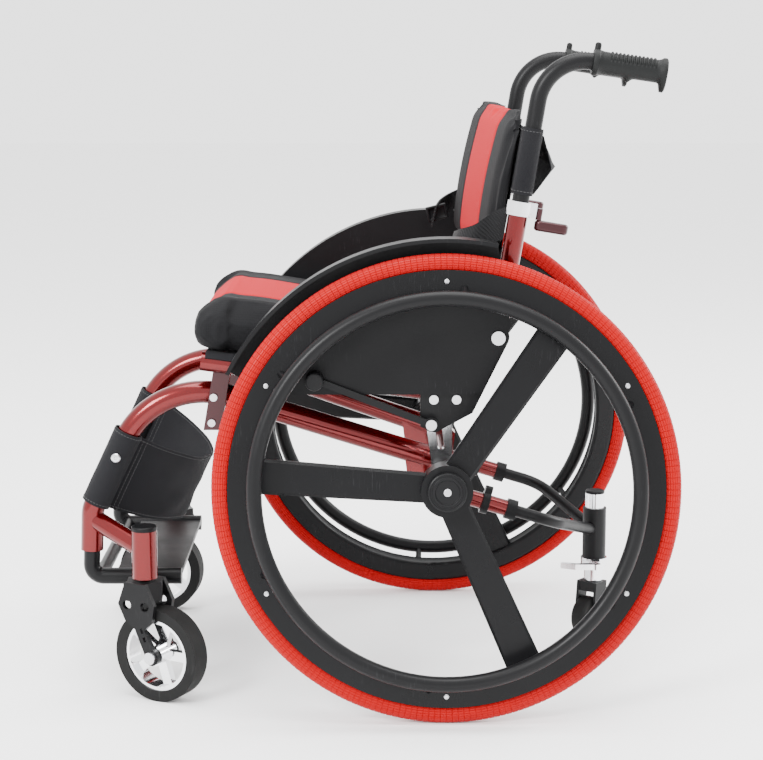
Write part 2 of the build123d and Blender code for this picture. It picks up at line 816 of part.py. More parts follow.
pad_back = sling_front + soft_gap
pad_thick = back_pad_front - pad_back
with BuildPart() as back_cushion:
    pad_face = Plane(origin=hinge - back.y_dir * back_pad_front, x_dir=(1, 0, 0), z_dir=back.y_dir)
    with BuildSketch(pad_face) as pad:
        with Locations(Vector(0, -(back_pad_low + back_pad_high) / 2)):
            Rectangle(2 * back_pad_half_width, back_pad_high - back_pad_low)
        fillet(pad.vertices().group_by(Axis.Z)[-1], 45)
        fillet(pad.vertices().group_by(Axis.Z)[0], 15)
    extrude(amount=pad_thick)
    fillet(back_cushion.faces().sort_by(Axis.Y)[0].edges(), 12)
save(back_cushion, "back_cushion")

# ---- Side guards: panel inside the wheel with a fender lip over the tyre ----
guard_low = 410.0
fender_start = 153.0
fender_stop = 78.0
with BuildPart() as side_guards:
    with BuildSketch(side(guard_x)):
        with BuildLine():
            front = Vector(0, hub_z) + Vector(fender_outer, 0).rotate(Axis.Z, fender_start)
            rear = Vector(0, hub_z) + Vector(fender_outer, 0).rotate(Axis.Z, fender_stop)
            RadiusArc(front, rear, fender_outer)
            Polyline(rear, (84, 500), (48, guard_low + 4), (30, guard_low), (-225, guard_low), front)
        make_face()
        with Locations((hinge_y, hinge_z)):
            Circle(hinge_bolt_radius + fit_gap, mode=Mode.SUBTRACT)
    extrude(amount=guard_thick)
    with BuildSketch(side(guard_x)):
        with BuildLine():
            inner_front = Vector(0, hub_z) + Vector(fender_inner, 0).rotate(Axis.Z, fender_start)
            inner_rear = Vector(0, hub_z) + Vector(fender_inner, 0).rotate(Axis.Z, fender_stop)
            RadiusArc(front, rear, fender_outer)
            Line(rear, inner_rear)
            RadiusArc(inner_front, inner_rear, fender_inner)
            Line(inner_front, front)
        make_face()
    extrude(amount=fender_reach - guard_x)
    mirror(about=Plane.YZ)
save(side_guards, "side_guards")

# ---- Calf strap: fabric sleeves round the legs and a hanging band between them ----
leg_slope = Vector(0, leg_top[0] - leg_knee[0], leg_top[1] - leg_knee[1]).normalized()
strap_share = (300 - leg_knee[1]) / (leg_top[1] - leg_knee[1])
strap_y = leg_knee[0] + strap_share * (leg_top[0] - leg_knee[0])
strap_plane = Plane(origin=at(0, (strap_y, 300)), x_dir=(1, 0, 0), z_dir=leg_slope)
strap_arc = (main_front_x**2 + strap_sag**2) / (2 * strap_sag)
sleeve_inner = main_tube_radius + strap_loose
sag_side = 1 if strap_plane.y_dir.Y > 0 else -1
with BuildPart() as calf_strap:
    with BuildSketch(strap_plane.offset(-strap_half_height)):
        with Locations((0, sag_side * (strap_sag - strap_arc))):
            Circle(strap_arc + strap_thick / 2)
            Circle(strap_arc - strap_thick / 2, mode=Mode.SUBTRACT)
        with Locations((0, -sag_side * strap_arc)):
            Rectangle(4 * strap_arc, 2 * strap_arc, mode=Mode.SUBTRACT)
        for x in (-main_front_x, main_front_x):
            with Locations((x, 0)):
                Circle(sleeve_inner + strap_thick)
        for x in (-main_front_x, main_front_x):
            with Locations((x, 0)):
                Circle(sleeve_inner, mode=Mode.SUBTRACT)
    extrude(amount=2 * strap_half_height)
save(calf_strap, "calf_strap")

# ---- Wheel-lock levers: a flat bar on a shoulder bolt with a round knob ----
lock_knob = (-169.0, 430.0)
lock_x = 218.0
with BuildPart() as lock_lever:
    with BuildSketch(side(lock_x)):
        with Locations(lock_pivot):
            Circle(9)
        with Locations(lock_knob):
            Circle(9)
        with BuildLine():
            Polyline(
                (lock_pivot[0] - 2, lock_pivot[1] - 4),
                (lock_pivot[0] + 2, lock_pivot[1] + 4),
                (lock_knob[0] + 2, lock_knob[1] + 4),
                (lock_knob[0] - 2, lock_knob[1] - 4),
                (lock_pivot[0] - 2, lock_pivot[1] - 4),
            )
        make_face()
        with Locations(lock_pivot):
            Circle(3 + fit_gap, mode=Mode.SUBTRACT)
    extrude(amount=5)
    with BuildSketch(side(lock_x)):
        with Locations(lock_knob):
            Circle(12)
    extrude(amount=22)
    fillet(lock_lever.faces().sort_by(Axis.X)[-1].edges(), 3)
lock_levers = {"left": lock_lever, "right": mirrored(lock_lever)}
for name, _ in SIDES:
    save(lock_levers[name], f"lock_lever_{name}")

# ---- Bolts of the frame, all in bright steel ----
with BuildPart() as frame_bolts:
    for place in clamp_bolts:
        with BuildSketch(side(plate_end_x - 10)):
            with Locations(place):
                Circle(3)
        extrude(amount=10 + weld_gap)
        with BuildSketch(side(plate_end_x + weld_gap)):
            with Locations(place):
                Circle(6)
        extrude(amount=3.5)
    for place in bracket_bolts:
        with BuildSketch(side(rail_x - 5 - 12)):
            with Locations(place):
                Circle(3)
        extrude(amount=12 + weld_gap)
        with BuildSketch(side(rail_x - 5 + weld_gap)):
            with Locations(place):
                Circle(5)
        extrude(amount=4)
    with BuildSketch(side(plate_end_x - 10)):
        with Locations(lock_pivot):
            Circle(3)
    extrude(amount=lock_x + 6 - plate_end_x + 10)
    with BuildSketch(side(lock_x + 5.3)):
        with Locations(lock_pivot):
            Circle(7)
    extrude(amount=3.5)
    with BuildSketch(side(plate_end_x + weld_gap)):
        with Locations(lock_pivot):
            Circle(7)
    extrude(amount=lock_x - plate_end_x - 0.4)
    with BuildSketch(side(post_x - post_radius - 5)):
        with Locations((hinge_y, hinge_z)):
            Circle(hinge_bolt_radius)
    extrude(amount=guard_x + guard_thick - post_x + post_radius + 5 + weld_gap)
    for start, thick in ((post_x - post_radius - 5, 4.5), (guard_x + guard_thick + weld_gap, 4.5)):
        with BuildSketch(side(start)):
            with Locations((hinge_y, hinge_z)):
                Circle(9)
        extrude(amount=thick)
    with BuildSketch(side(plate_end_x + weld_gap)):
        with Locations((hinge_y, hinge_z)):
            Circle(8)
    extrude(amount=guard_x - plate_end_x - 2 * weld_gap)
    with BuildSketch(side(rail_x + rail_radius + 0.2)):
        with Locations((-200, rail_height(-200))):
            Circle(5)
    extrude(amount=guard_x - weld_gap - rail_x - rail_radius - 0.2)
    mirror(about=Plane.YZ)
save(frame_bolts, "frame_bolts")

# ---- Anti-tip roller: sockets, clamps, sliding yoke, stem, lever, fork, roller ----
socket_points = [at(socket_x, (back, up + axle_lift)) for back, up in (socket_front, socket_rear)]
socket_run = (socket_points[1] - socket_points[0]).normalized()
plain_socket = rod(socket_points[0], socket_points[1], socket_radius)
camber_cutter = rod(
    Vector(-camber_tube_end, axle_y, camber_tube_z),
    Vector(camber_tube_end, axle_y, camber_tube_z),
    camber_tube_radius + weld_gap,
)
with BuildPart() as antitip_sockets:
    add(plain_socket.part)
    add(main_tube.part, mode=Mode.SUBTRACT)
    add(camber_cutter.part, mode=Mode.SUBTRACT)
    with BuildSketch(Plane(origin=socket_points[1], z_dir=socket_run)):
        Circle(arm_radius + fit_gap)
    extrude(amount=-arm_insert - 1, mode=Mode.SUBTRACT)
    keep = antitip_sockets.solids().sort_by(SortBy.VOLUME)[-1]
    add(keep, mode=Mode.REPLACE)
    mirror(about=Plane.YZ)
save(antitip_sockets, "antitip_sockets")

clamp_at = socket_points[0] + socket_run * 60
clamp_plane = Plane(origin=clamp_at, x_dir=(1, 0, 0), z_dir=socket_run)
knob_side = 1 if clamp_plane.y_dir.Z > 0 else -1
with BuildPart() as socket_clamps:
    with BuildSketch(clamp_plane):
        Circle(socket_radius + 5)
        with Locations((0, knob_side * (socket_radius + 5))):
            Circle(7)
        Circle(socket_radius + fit_gap, mode=Mode.SUBTRACT)
    extrude(amount=10)
    with BuildSketch(clamp_plane.offset(socket_run.dot(socket_points[1] - clamp_at) - 14)):
        Circle(socket_radius + 3)
        Circle(socket_radius + fit_gap, mode=Mode.SUBTRACT)
    extrude(amount=14)
    mirror(about=Plane.YZ)
save(socket_clamps, "socket_clamps")

roller_post = at(0, (roller_y, 0))
arm_turn_y = 150.0
arm_slope = (socket_rear[1] - socket_front[1]) / (socket_rear[0] - socket_front[0])
arm_points = [
    socket_points[1] - socket_run * arm_insert,
    at(socket_x, (arm_turn_y, socket_rear[1] + axle_lift + arm_slope * (arm_turn_y - socket_rear[0]))),
    at(0, (roller_y, 176)),
]
plain_antitip_arm = bent_tube(arm_points, 45, arm_radius)
housing_plane = Plane(origin=roller_post + Vector(0, 0, roller_housing_low), z_dir=(0, 0, 1))
with BuildPart() as antitip_yoke:
    add(plain_antitip_arm.part)
    mirror(about=Plane.YZ)
    with BuildSketch(housing_plane):
        Circle(roller_housing_radius)
    extrude(amount=roller_housing_high - roller_housing_low)
    with BuildSketch(housing_plane):
        Circle(roller_stem_radius + fit_gap)
    extrude(amount=roller_housing_high - roller_housing_low, mode=Mode.SUBTRACT)
save(antitip_yoke, "antitip_yoke")

stem_low = 104.0
stem_high = 230.0
fork_pin_radius = 5.0
stem_plane = Plane(origin=roller_post + Vector(0, 0, stem_low), z_dir=(0, 0, 1))
with BuildPart() as antitip_stem:
    with BuildSketch(stem_plane):
        Circle(roller_stem_radius)
    extrude(amount=stem_high - stem_low)
    with BuildSketch(stem_plane):
        Circle(fork_pin_radius + fit_gap)
    extrude(amount=42, mode=Mode.SUBTRACT)
save(antitip_stem, "antitip_stem")

with BuildPart() as antitip_cap:
    with BuildSketch(stem_plane.offset(stem_high - stem_low + weld_gap)):
        Circle(roller_stem_radius)
    extrude(amount=4)
    fillet(antitip_cap.faces().sort_by(Axis.Z)[-1].edges(), 2)
save(antitip_cap, "antitip_cap")

clamp_low = roller_housing_low - clamp_height
clamp_lug_end = roller_housing_radius + 11
with BuildPart() as antitip_clamp:
    with BuildSketch(Plane(origin=roller_post + Vector(0, 0, clamp_low), z_dir=(0, 0, 1))):
        Circle(roller_housing_radius + 2)
        with Locations((clamp_lug_end - clamp_lug_length / 2, 0)):
            Rectangle(clamp_lug_length, 12)
        Circle(roller_stem_radius + fit_gap, mode=Mode.SUBTRACT)
    extrude(amount=clamp_height - weld_gap)
save(antitip_clamp, "antitip_clamp")

antitip_lever_x = clamp_lug_end + soft_gap + antitip_eye_radius
with BuildPart() as antitip_lever:
    with BuildSketch(Plane(origin=roller_post + Vector(0, 0, clamp_low + 2), z_dir=(0, 0, 1))):
        with Locations((antitip_lever_x, 0)):
            Circle(antitip_eye_radius)
        with BuildLine():
            handle = [(-4, -3), (5, -3), (4, -30), (-6, -50), (-11, -47), (-3, -28), (-4, -3)]
            Polyline(*[(antitip_lever_x + across, back) for across, back in handle])
        make_face()
    extrude(amount=8)
save(antitip_lever, "antitip_lever")

roller_angle = radians(roller_turn)
roller_trail_dir = Vector(sin(roller_angle), cos(roller_angle), 0)
roller_side = Vector(roller_trail_dir.Y, -roller_trail_dir.X, 0)
roller_centre = roller_post + roller_trail_dir * roller_trail + Vector(0, 0, roller_z)
roller_ground = Plane(origin=roller_post, x_dir=roller_trail_dir, z_dir=(0, 0, 1))
roller_across = Plane(origin=roller_centre, x_dir=roller_trail_dir, z_dir=roller_side)
roller_fork_inner = roller_width / 2 + 1.5
roller_crown = roller_z + roller_radius + 8
with BuildPart() as antitip_fork:
    with BuildSketch(roller_ground.offset(roller_crown)):
        Circle(13)
        with Locations((4, 0)):
            Rectangle(26, 2 * roller_fork_inner + 8)
    extrude(amount=stem_low - 1 - roller_crown)
    with BuildSketch(roller_ground.offset(roller_crown)):
        Circle(fork_pin_radius)
    extrude(amount=stem_low + 38 - roller_crown)
    for start in (roller_fork_inner, -roller_fork_inner - 4):
        cheek = Plane(origin=roller_post + roller_side * start, x_dir=roller_trail_dir, z_dir=roller_side)
        with BuildSketch(cheek):
            with BuildLine():
                Polyline(
                    (-9, stem_low - 1),
                    (17, stem_low - 1),
                    (roller_trail + 8, roller_z),
                    (roller_trail - 8, roller_z),
                    (-9, stem_low - 1),
                )
            make_face()
            with Locations((roller_trail, roller_z)):
                Circle(8)
                Circle(3 + fit_gap, mode=Mode.SUBTRACT)
        extrude(amount=4)
save(antitip_fork, "antitip_fork")

with BuildPart() as antitip_axle:
    roller_end = roller_fork_inner + 4
    with BuildSketch(roller_across.offset(-roller_end - 1)):
        Circle(3)
    extrude(amount=2 * roller_end + 2)
    for start in (roller_end + weld_gap, -roller_end - weld_gap - 4):
        with BuildSketch(roller_across.offset(start)):
            Circle(6)
        extrude(amount=4)
save(antitip_axle, "antitip_axle")

with BuildPart() as antitip_roller:
    with BuildSketch(roller_across.offset(-roller_width / 2)):
        Circle(roller_radius)
    extrude(amount=roller_width)
    fillet(antitip_roller.edges().filter_by(GeomType.CIRCLE), 5)
    with BuildSketch(roller_across.offset(-roller_width)):
        Circle(3 + fit_gap)
    extrude(amount=2 * roller_width, mode=Mode.SUBTRACT)
save(antitip_roller, "antitip_roller")
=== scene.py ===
# %% [markdown]
# A rigid-frame wheelchair with cambered wheels, a folding backrest and an anti-tip roller.
# The metal frame, wheels and joints come from the CAD model and are never moved here. This
# script gives every surface its finish and models what CAD leaves plain: treaded tyres,
# ribbed grips, cushions, slings, straps and small trim.

# %% Load the frame
import json
from math import atan2, cos, exp, hypot, pi, radians, sin

import bpy
from mathutils import Matrix, Vector, noise


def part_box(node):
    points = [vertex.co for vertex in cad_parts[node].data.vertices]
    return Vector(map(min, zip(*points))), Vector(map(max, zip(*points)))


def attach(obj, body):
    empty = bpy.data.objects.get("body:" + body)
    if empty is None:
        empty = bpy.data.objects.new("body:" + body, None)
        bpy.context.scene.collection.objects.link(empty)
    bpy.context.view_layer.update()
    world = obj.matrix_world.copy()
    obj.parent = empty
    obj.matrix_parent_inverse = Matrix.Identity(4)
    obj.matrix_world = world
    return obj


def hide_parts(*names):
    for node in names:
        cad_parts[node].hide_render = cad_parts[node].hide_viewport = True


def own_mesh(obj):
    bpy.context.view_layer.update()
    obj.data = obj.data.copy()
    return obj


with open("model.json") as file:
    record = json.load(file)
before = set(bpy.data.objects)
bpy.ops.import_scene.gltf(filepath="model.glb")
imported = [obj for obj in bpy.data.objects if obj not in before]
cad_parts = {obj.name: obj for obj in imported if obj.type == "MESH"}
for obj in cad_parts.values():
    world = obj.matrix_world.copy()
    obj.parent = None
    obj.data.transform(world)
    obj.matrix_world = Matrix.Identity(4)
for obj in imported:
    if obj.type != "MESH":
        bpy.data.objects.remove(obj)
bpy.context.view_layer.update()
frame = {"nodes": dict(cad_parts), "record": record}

# %% [markdown]
# The camera stands level with the armrests, almost square to the chair's left side, and looks
# slightly down. A long lens keeps the near and the far wheel almost the same size, as in a
# catalogue picture.

# %% Camera
camera = bpy.data.objects.new("camera", bpy.data.cameras.new("camera"))
bpy.context.scene.collection.objects.link(camera)
bpy.context.scene.camera = camera
camera_yaw, camera_pitch = radians(0.148), radians(9.64)
camera.location = (2.718, 0.0045, 0.854)
ahead = Vector((
    -cos(camera_pitch) * cos(camera_yaw),
    cos(camera_pitch) * sin(camera_yaw),
    -sin(camera_pitch),
))
camera.rotation_mode = "QUATERNION"
camera.rotation_quaternion = ahead.to_track_quat("-Z", "Y")
camera.data.lens = 92.57
camera.data.sensor_width = 36
camera.data.clip_end = 50
print("camera looks along", [round(x, 3) for x in ahead])

# %% [markdown]
# Every operator works on whatever is selected, so the first helpers choose one piece and
# nothing else. `settle` puts a piece's place into its mesh, which keeps patterns in Object
# coordinates still, and lets it ride on a body of the frame.

# %% Helpers for picking and settling pieces
def pick(piece=None):
    """Select one piece and nothing else."""
    if bpy.context.object and bpy.context.object.mode != "OBJECT":
        bpy.ops.object.mode_set(mode="OBJECT")
    bpy.ops.object.select_all(action="DESELECT")
    if piece:
        piece.select_set(True)
        bpy.context.view_layer.objects.active = piece


def modify(piece, kind, **settings):
    """Give a piece a modifier and apply it."""
    pick(piece)
    modifier = piece.modifiers.new(kind.title(), kind)
    for key, value in settings.items():
        setattr(modifier, key, value)
    bpy.ops.object.modifier_apply(modifier=modifier.name)


def set_down(piece, place):
    """Move a piece to a place and put that place into its mesh."""
    piece.data.transform(place)
    piece.matrix_world = Matrix()


def settle(piece, name, body, finish):
    """Name a piece, give it its finish and let it ride on a body."""
    set_down(piece, piece.matrix_world.copy())
    piece.name = name
    piece.data.name = name
    piece.data.materials.clear()
    piece.data.materials.append(finish)
    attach(piece, body)
    print(name, "rides on", body, "with", len(piece.data.polygons), "faces")
    return piece


def copied(piece):
    """A copy of a piece with its own mesh."""
    copy = piece.copy()
    copy.data = piece.data.copy()
    bpy.context.scene.collection.objects.link(copy)
    return copy


def joined(pieces):
    """Several loose parts as one piece."""
    pick(pieces[0])
    for piece in pieces[1:]:
        piece.select_set(True)
    bpy.ops.object.join()
    return pieces[0]


pick()

# %% [markdown]
# Places come from the frame. The tyre's box is centred on the hub, because a tyre is the same
# all round, and the backrest is drawn in its own directions: up along the posts and rearward.

# %% Places on the chair
camber = radians(7)
tyre_low, tyre_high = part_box("rear_tyre_left")
hub = (tyre_low + tyre_high) / 2
axle_y = hub.y
tyre_ring, tyre_thick = 0.2875, 0.025
lean = radians(9.3)
hinge = Vector((0, axle_y + 0.068, 0.484))
back_up = Vector((0, sin(lean), cos(lean)))
back_rear = Vector((0, cos(lean), -sin(lean)))
post_x = 0.189
seat_slope = -0.1322
seat_rear = Vector((0, 1, seat_slope)).normalized()
seat_up = Vector((0, -seat_slope, 1)).normalized()
SIDES = (("left", 1), ("right", -1))


def on_back(x, up, rear):
    """A place on the backrest: across, up the posts, and behind them."""
    return hinge + Vector((x, 0, 0)) + back_up * up + back_rear * rear


def on_seat(x, rear, up):
    """A place over the seat: across, behind the axle, and above the rails."""
    return Vector((x, axle_y, 0.407)) + seat_rear * rear + seat_up * up


def basis(x_dir, y_dir, z_dir, origin):
    """The matrix that puts a piece's own axes along three directions."""
    return Matrix.Translation(origin) @ Matrix((x_dir, y_dir, z_dir)).transposed().to_4x4()


def wheel_place(sign):
    """The matrix that puts a piece turned about Z on a rear wheel's axle, outward."""
    outward = Vector((sign * cos(camber), 0, sin(camber)))
    return basis(Vector((0, 1, 0)), outward.cross(Vector((0, 1, 0))), outward,
                 Vector((sign * hub.x, hub.y, hub.z)))


print("hub", [round(x, 4) for x in hub], "hinge", [round(x, 4) for x in hinge])

# %% [markdown]
# Materials are built from nodes. Small effects that several finishes share are node groups:
# fine grain, a plain weave, knitted mesh, scuffs and settled dust. A group gives out only
# heights and masks, and each material decides what to do with them.

# %% Helpers for node trees
def add_node(tree, kind, **values):
    """A node with its inputs, or its settings, set by name."""
    node = tree.nodes.new("ShaderNode" + kind)
    for title, value in values.items():
        key = title.replace("_", " ")
        if key in node.inputs:
            node.inputs[key].default_value = value
        else:
            setattr(node, title, value)
    return node


def math_node(tree, operation, first, second=0.0):
    """A Math node whose inputs are numbers or other nodes' outputs."""
    node = add_node(tree, "Math", operation=operation)
    for socket, value in zip(node.inputs, (first, second)):
        if isinstance(value, (int, float)):
            socket.default_value = value
        else:
            tree.links.new(value, socket)
    return node.outputs[0]


def new_effect(name, inputs, outputs):
    """An empty node group with named inputs and outputs."""
    tree = bpy.data.node_groups.new(name, "ShaderNodeTree")
    for title, kind, value in inputs:
        socket = tree.interface.new_socket(title, in_out="INPUT", socket_type="NodeSocket" + kind)
        if value is not None:
            socket.default_value = value
    for title in outputs:
        tree.interface.new_socket(title, in_out="OUTPUT", socket_type="NodeSocketFloat")
    return tree, tree.nodes.new("NodeGroupInput"), tree.nodes.new("NodeGroupOutput")


def object_noise(tree, scale, detail=3.0, stretch=None):
    """Noise in Object coordinates, stretched along one direction if asked."""
    coords = add_node(tree, "TexCoord").outputs["Object"]
    if stretch:
        mapping = add_node(tree, "Mapping", Scale=stretch)
        tree.links.new(coords, mapping.inputs["Vector"])
        coords = mapping.outputs[0]
    texture = add_node(tree, "TexNoise", Detail=detail)
    tree.links.new(coords, texture.inputs["Vector"])
    if isinstance(scale, (int, float)):
        texture.inputs["Scale"].default_value = scale
    else:
        tree.links.new(scale, texture.inputs["Scale"])
    return texture.outputs["Fac"]


def ramp(tree, value, low, high):
    """Stretch a value so that low becomes 0 and high becomes 1."""
    node = add_node(tree, "MapRange", From_Min=low, From_Max=high)
    tree.links.new(value, node.inputs["Value"])
    return node.outputs["Result"]


# %% Effect: fine grain, for powder coat and moulded plastic
grain, grain_in, grain_out = new_effect(
    "grain", [("Scale", "Float", 900.0)], ["Height", "Patches"])
grain.links.new(object_noise(grain, grain_in.outputs["Scale"]), grain_out.inputs["Height"])
grain.links.new(ramp(grain, object_noise(grain, 14.0), 0.35, 0.65), grain_out.inputs["Patches"])
print("effect", grain.name)

# %% Effect: scuffs, a few short pale scratches
scuffs, scuffs_in, scuffs_out = new_effect("scuffs", [], ["Mask"])
streaks = ramp(scuffs, object_noise(scuffs, 60.0, 6.0, (1.0, 9.0, 1.0)), 0.60, 0.68)
where = ramp(scuffs, object_noise(scuffs, 9.0, 2.0), 0.50, 0.66)
scuffs.links.new(math_node(scuffs, "MULTIPLY", streaks, where), scuffs_out.inputs["Mask"])
print("effect", scuffs.name)

# %% Effect: dust, which settles on faces that look up
dust, dust_in, dust_out = new_effect("dust", [], ["Mask"])
split_normal = add_node(dust, "SeparateXYZ")
dust.links.new(add_node(dust, "NewGeometry").outputs["Normal"], split_normal.inputs[0])
upward = ramp(dust, split_normal.outputs["Z"], 0.2, 1.0)
settled = ramp(dust, object_noise(dust, 35.0, 5.0), 0.35, 0.75)
dust.links.new(math_node(dust, "MULTIPLY", upward, settled), dust_out.inputs["Mask"])
print("effect", dust.name)

# %% Effect: weave, threads over and under each other along the piece's own UV map
weave, weave_in, weave_out = new_effect(
    "weave", [("Vector", "Vector", None), ("Threads", "Float", 900.0)], ["Height", "Shade"])
counted = add_node(weave, "VectorMath", operation="SCALE")
weave.links.new(weave_in.outputs["Vector"], counted.inputs[0])
weave.links.new(weave_in.outputs["Threads"], counted.inputs["Scale"])
split_uv = add_node(weave, "SeparateXYZ")
weave.links.new(counted.outputs[0], split_uv.inputs[0])
warp, weft = split_uv.outputs["X"], split_uv.outputs["Y"]
warp_high = math_node(weave, "ABSOLUTE", math_node(weave, "SINE", math_node(weave, "MULTIPLY", warp, pi)))
weft_high = math_node(weave, "ABSOLUTE", math_node(weave, "SINE", math_node(weave, "MULTIPLY", weft, pi)))
cell = math_node(weave, "ADD", math_node(weave, "FLOOR", warp), math_node(weave, "FLOOR", weft))
on_top = math_node(weave, "FRACT", math_node(weave, "MULTIPLY", cell, 0.5))
over = math_node(weave, "GREATER_THAN", on_top, 0.25)
under = math_node(weave, "SUBTRACT", 1.0, over)
height = math_node(weave, "ADD", math_node(weave, "MULTIPLY", warp_high, over),
                   math_node(weave, "MULTIPLY", weft_high, under))
weave.links.new(height, weave_out.inputs["Height"])
weave.links.new(ramp(weave, height, 0.0, 0.8), weave_out.inputs["Shade"])
print("effect", weave.name)

# %% Effect: knit, the small open cells of a spacer mesh, in Object coordinates
knit, knit_in, knit_out = new_effect("knit", [("Scale", "Float", 420.0)], ["Height", "Holes"])
cells = add_node(knit, "TexVoronoi", Randomness=0.2)
knit.links.new(add_node(knit, "TexCoord").outputs["Object"], cells.inputs["Vector"])
knit.links.new(knit_in.outputs["Scale"], cells.inputs["Scale"])
knit.links.new(ramp(knit, cells.outputs["Distance"], 0.1, 0.55), knit_out.inputs["Height"])
knit.links.new(ramp(knit, cells.outputs["Distance"], 0.34, 0.18), knit_out.inputs["Holes"])
print("effect", knit.name)

# %% [markdown]
# Each finish starts as a Principled shader with its constant values set on the shader itself.
# `use_effect` places a shared group, `tint` mixes a second colour in by a mask, and `relief`
# turns a height into a bump.

# %% Helpers for finishes
def new_finish(name, **constants):
    """A material, its tree and its shader, with constant values on the shader."""
    material = bpy.data.materials.new(name)
    material.use_nodes = True
    shader = material.node_tree.nodes["Principled BSDF"]
    for title, value in constants.items():
        shader.inputs[title.replace("_", " ")].default_value = value
    return material, material.node_tree, shader


def use_effect(tree, effect, **values):
    """Place a shared node group in a material."""
    node = tree.nodes.new("ShaderNodeGroup")
    node.node_tree = effect
    for title, value in values.items():
        node.inputs[title].default_value = value
    return node


def tint(tree, shader, mask, colour):
    """Mix a second colour into the base colour where the mask is 1."""
    mix = add_node(tree, "Mix", data_type="RGBA")
    socket = shader.inputs["Base Color"]
    if socket.is_linked:
        tree.links.new(socket.links[0].from_socket, mix.inputs[6])
    else:
        mix.inputs[6].default_value = socket.default_value
    mix.inputs[7].default_value = (*colour, 1)
    tree.links.new(mask, mix.inputs[0])
    tree.links.new(mix.outputs[2], socket)


def relief(tree, shader, height, distance, strength=1.0):
    """Turn a height into a bump, on top of any bump that is there."""
    bump = add_node(tree, "Bump", Strength=strength, Distance=distance)
    tree.links.new(height, bump.inputs["Height"])
    if shader.inputs["Normal"].is_linked:
        tree.links.new(shader.inputs["Normal"].links[0].from_socket, bump.inputs["Normal"])
    tree.links.new(bump.outputs[0], shader.inputs["Normal"])


def roughness_between(tree, shader, mask, low, high):
    """Let the roughness run between two values with a mask."""
    node = add_node(tree, "MapRange", To_Min=low, To_Max=high)
    tree.links.new(mask, node.inputs["Value"])
    tree.links.new(node.outputs["Result"], shader.inputs["Roughness"])


# %% [markdown]
# The tubes carry candy paint: a bright metallic base under a deep clear coat. Tiny flakes
# lighten it here and there, and the clear coat keeps its own sharp gloss.

# %% Finish: candy red paint, and a darker copy of it as painted shade
def candy_paint(name, colour, deep, roughness):
    """Metallic paint with flakes under a clear coat."""
    material, tree, shader = new_finish(
        name, Base_Color=(*colour, 1), Metallic=0.72, Roughness=roughness,
        Coat_Weight=0.35, Coat_Roughness=0.04, Coat_IOR=1.5)
    flakes = object_noise(tree, 2600.0, 1.0)
    tint(tree, shader, ramp(tree, flakes, 0.35, 0.6), deep)
    marks = use_effect(tree, scuffs)
    roughness_between(tree, shader, marks.outputs["Mask"], roughness, roughness + 0.15)
    relief(tree, shader, flakes, 0.00004, 0.25)
    return material


candy_red = candy_paint("candy_red", (0.15, 0.0004, 0.0012), (0.08, 0.0002, 0.0006), 0.2)
# A much darker copy of the candy red: painted shade for the red paint where it lies in shadow
shaded_candy_red = candy_paint("shaded_candy_red", (0.035, 0.0008, 0.003), (0.022, 0.0005, 0.002), 0.3)
print("finishes", candy_red.name, shaded_candy_red.name)

# %% Finish: black powder coat, moulded plastic and rubber
def dark_finish(name, colour, roughness, grain_scale, depth, dusty=0.25, **constants):
    """A black surface with its own grain, patchy gloss, faint scuffs and dust."""
    material, tree, shader = new_finish(
        name, Base_Color=(*colour, 1), Roughness=roughness, **constants)
    texture = use_effect(tree, grain, Scale=grain_scale)
    roughness_between(tree, shader, texture.outputs["Patches"], roughness - 0.05, roughness + 0.06)
    marks = use_effect(tree, scuffs)
    pale = tuple(min(1.0, 3 * c + 0.01) for c in colour)
    tint(tree, shader, math_node(tree, "MULTIPLY", marks.outputs["Mask"], 0.5), pale)
    film = use_effect(tree, dust)
    tint(tree, shader, math_node(tree, "MULTIPLY", film.outputs["Mask"], dusty), (0.05, 0.048, 0.046))
    relief(tree, shader, texture.outputs["Height"], depth)
    return material


powder_coat = dark_finish("powder_coat", (0.004, 0.004, 0.0045), 0.36, 1500.0, 0.00008, 0.04,
                          Specular_IOR_Level=0.13, Coat_Weight=0.03, Coat_Roughness=0.25)
moulded = dark_finish("moulded_plastic", (0.004, 0.004, 0.0045), 0.42, 1100.0, 0.00012, 0.05,
                      Specular_IOR_Level=0.12)
wheel_black = dark_finish("satin_wheel", (0.0035, 0.0035, 0.004), 0.30, 1300.0, 0.00005, 0.03,
                          Specular_IOR_Level=0.12, Coat_Weight=0.04, Coat_Roughness=0.15)
grip_rubber = dark_finish("grip_rubber", (0.006, 0.0065, 0.0065), 0.5, 800.0, 0.0001, 0.06,
                          Specular_IOR_Level=0.14)
black_rubber = dark_finish("tyre_rubber", (0.007, 0.007, 0.007), 0.62, 600.0, 0.00015, 0.1,
                           Specular_IOR_Level=0.12)
print("finishes", powder_coat.name, moulded.name, wheel_black.name, grip_rubber.name)

# %% Finish: the red tyre
red_rubber, tree, shader = new_finish(
    "red_rubber", Base_Color=(0.31, 0.0008, 0.0022, 1), Roughness=0.45, Specular_IOR_Level=0.12)
texture = use_effect(tree, grain, Scale=700.0)
roughness_between(tree, shader, texture.outputs["Patches"], 0.36, 0.5)
tint(tree, shader, math_node(tree, "MULTIPLY", texture.outputs["Patches"], 0.4), (0.27, 0.0005, 0.0015))
film = use_effect(tree, dust)
tint(tree, shader, math_node(tree, "MULTIPLY", film.outputs["Mask"], 0.1), (0.42, 0.03, 0.03))
relief(tree, shader, texture.outputs["Height"], 0.0001)
print("finish", red_rubber.name)

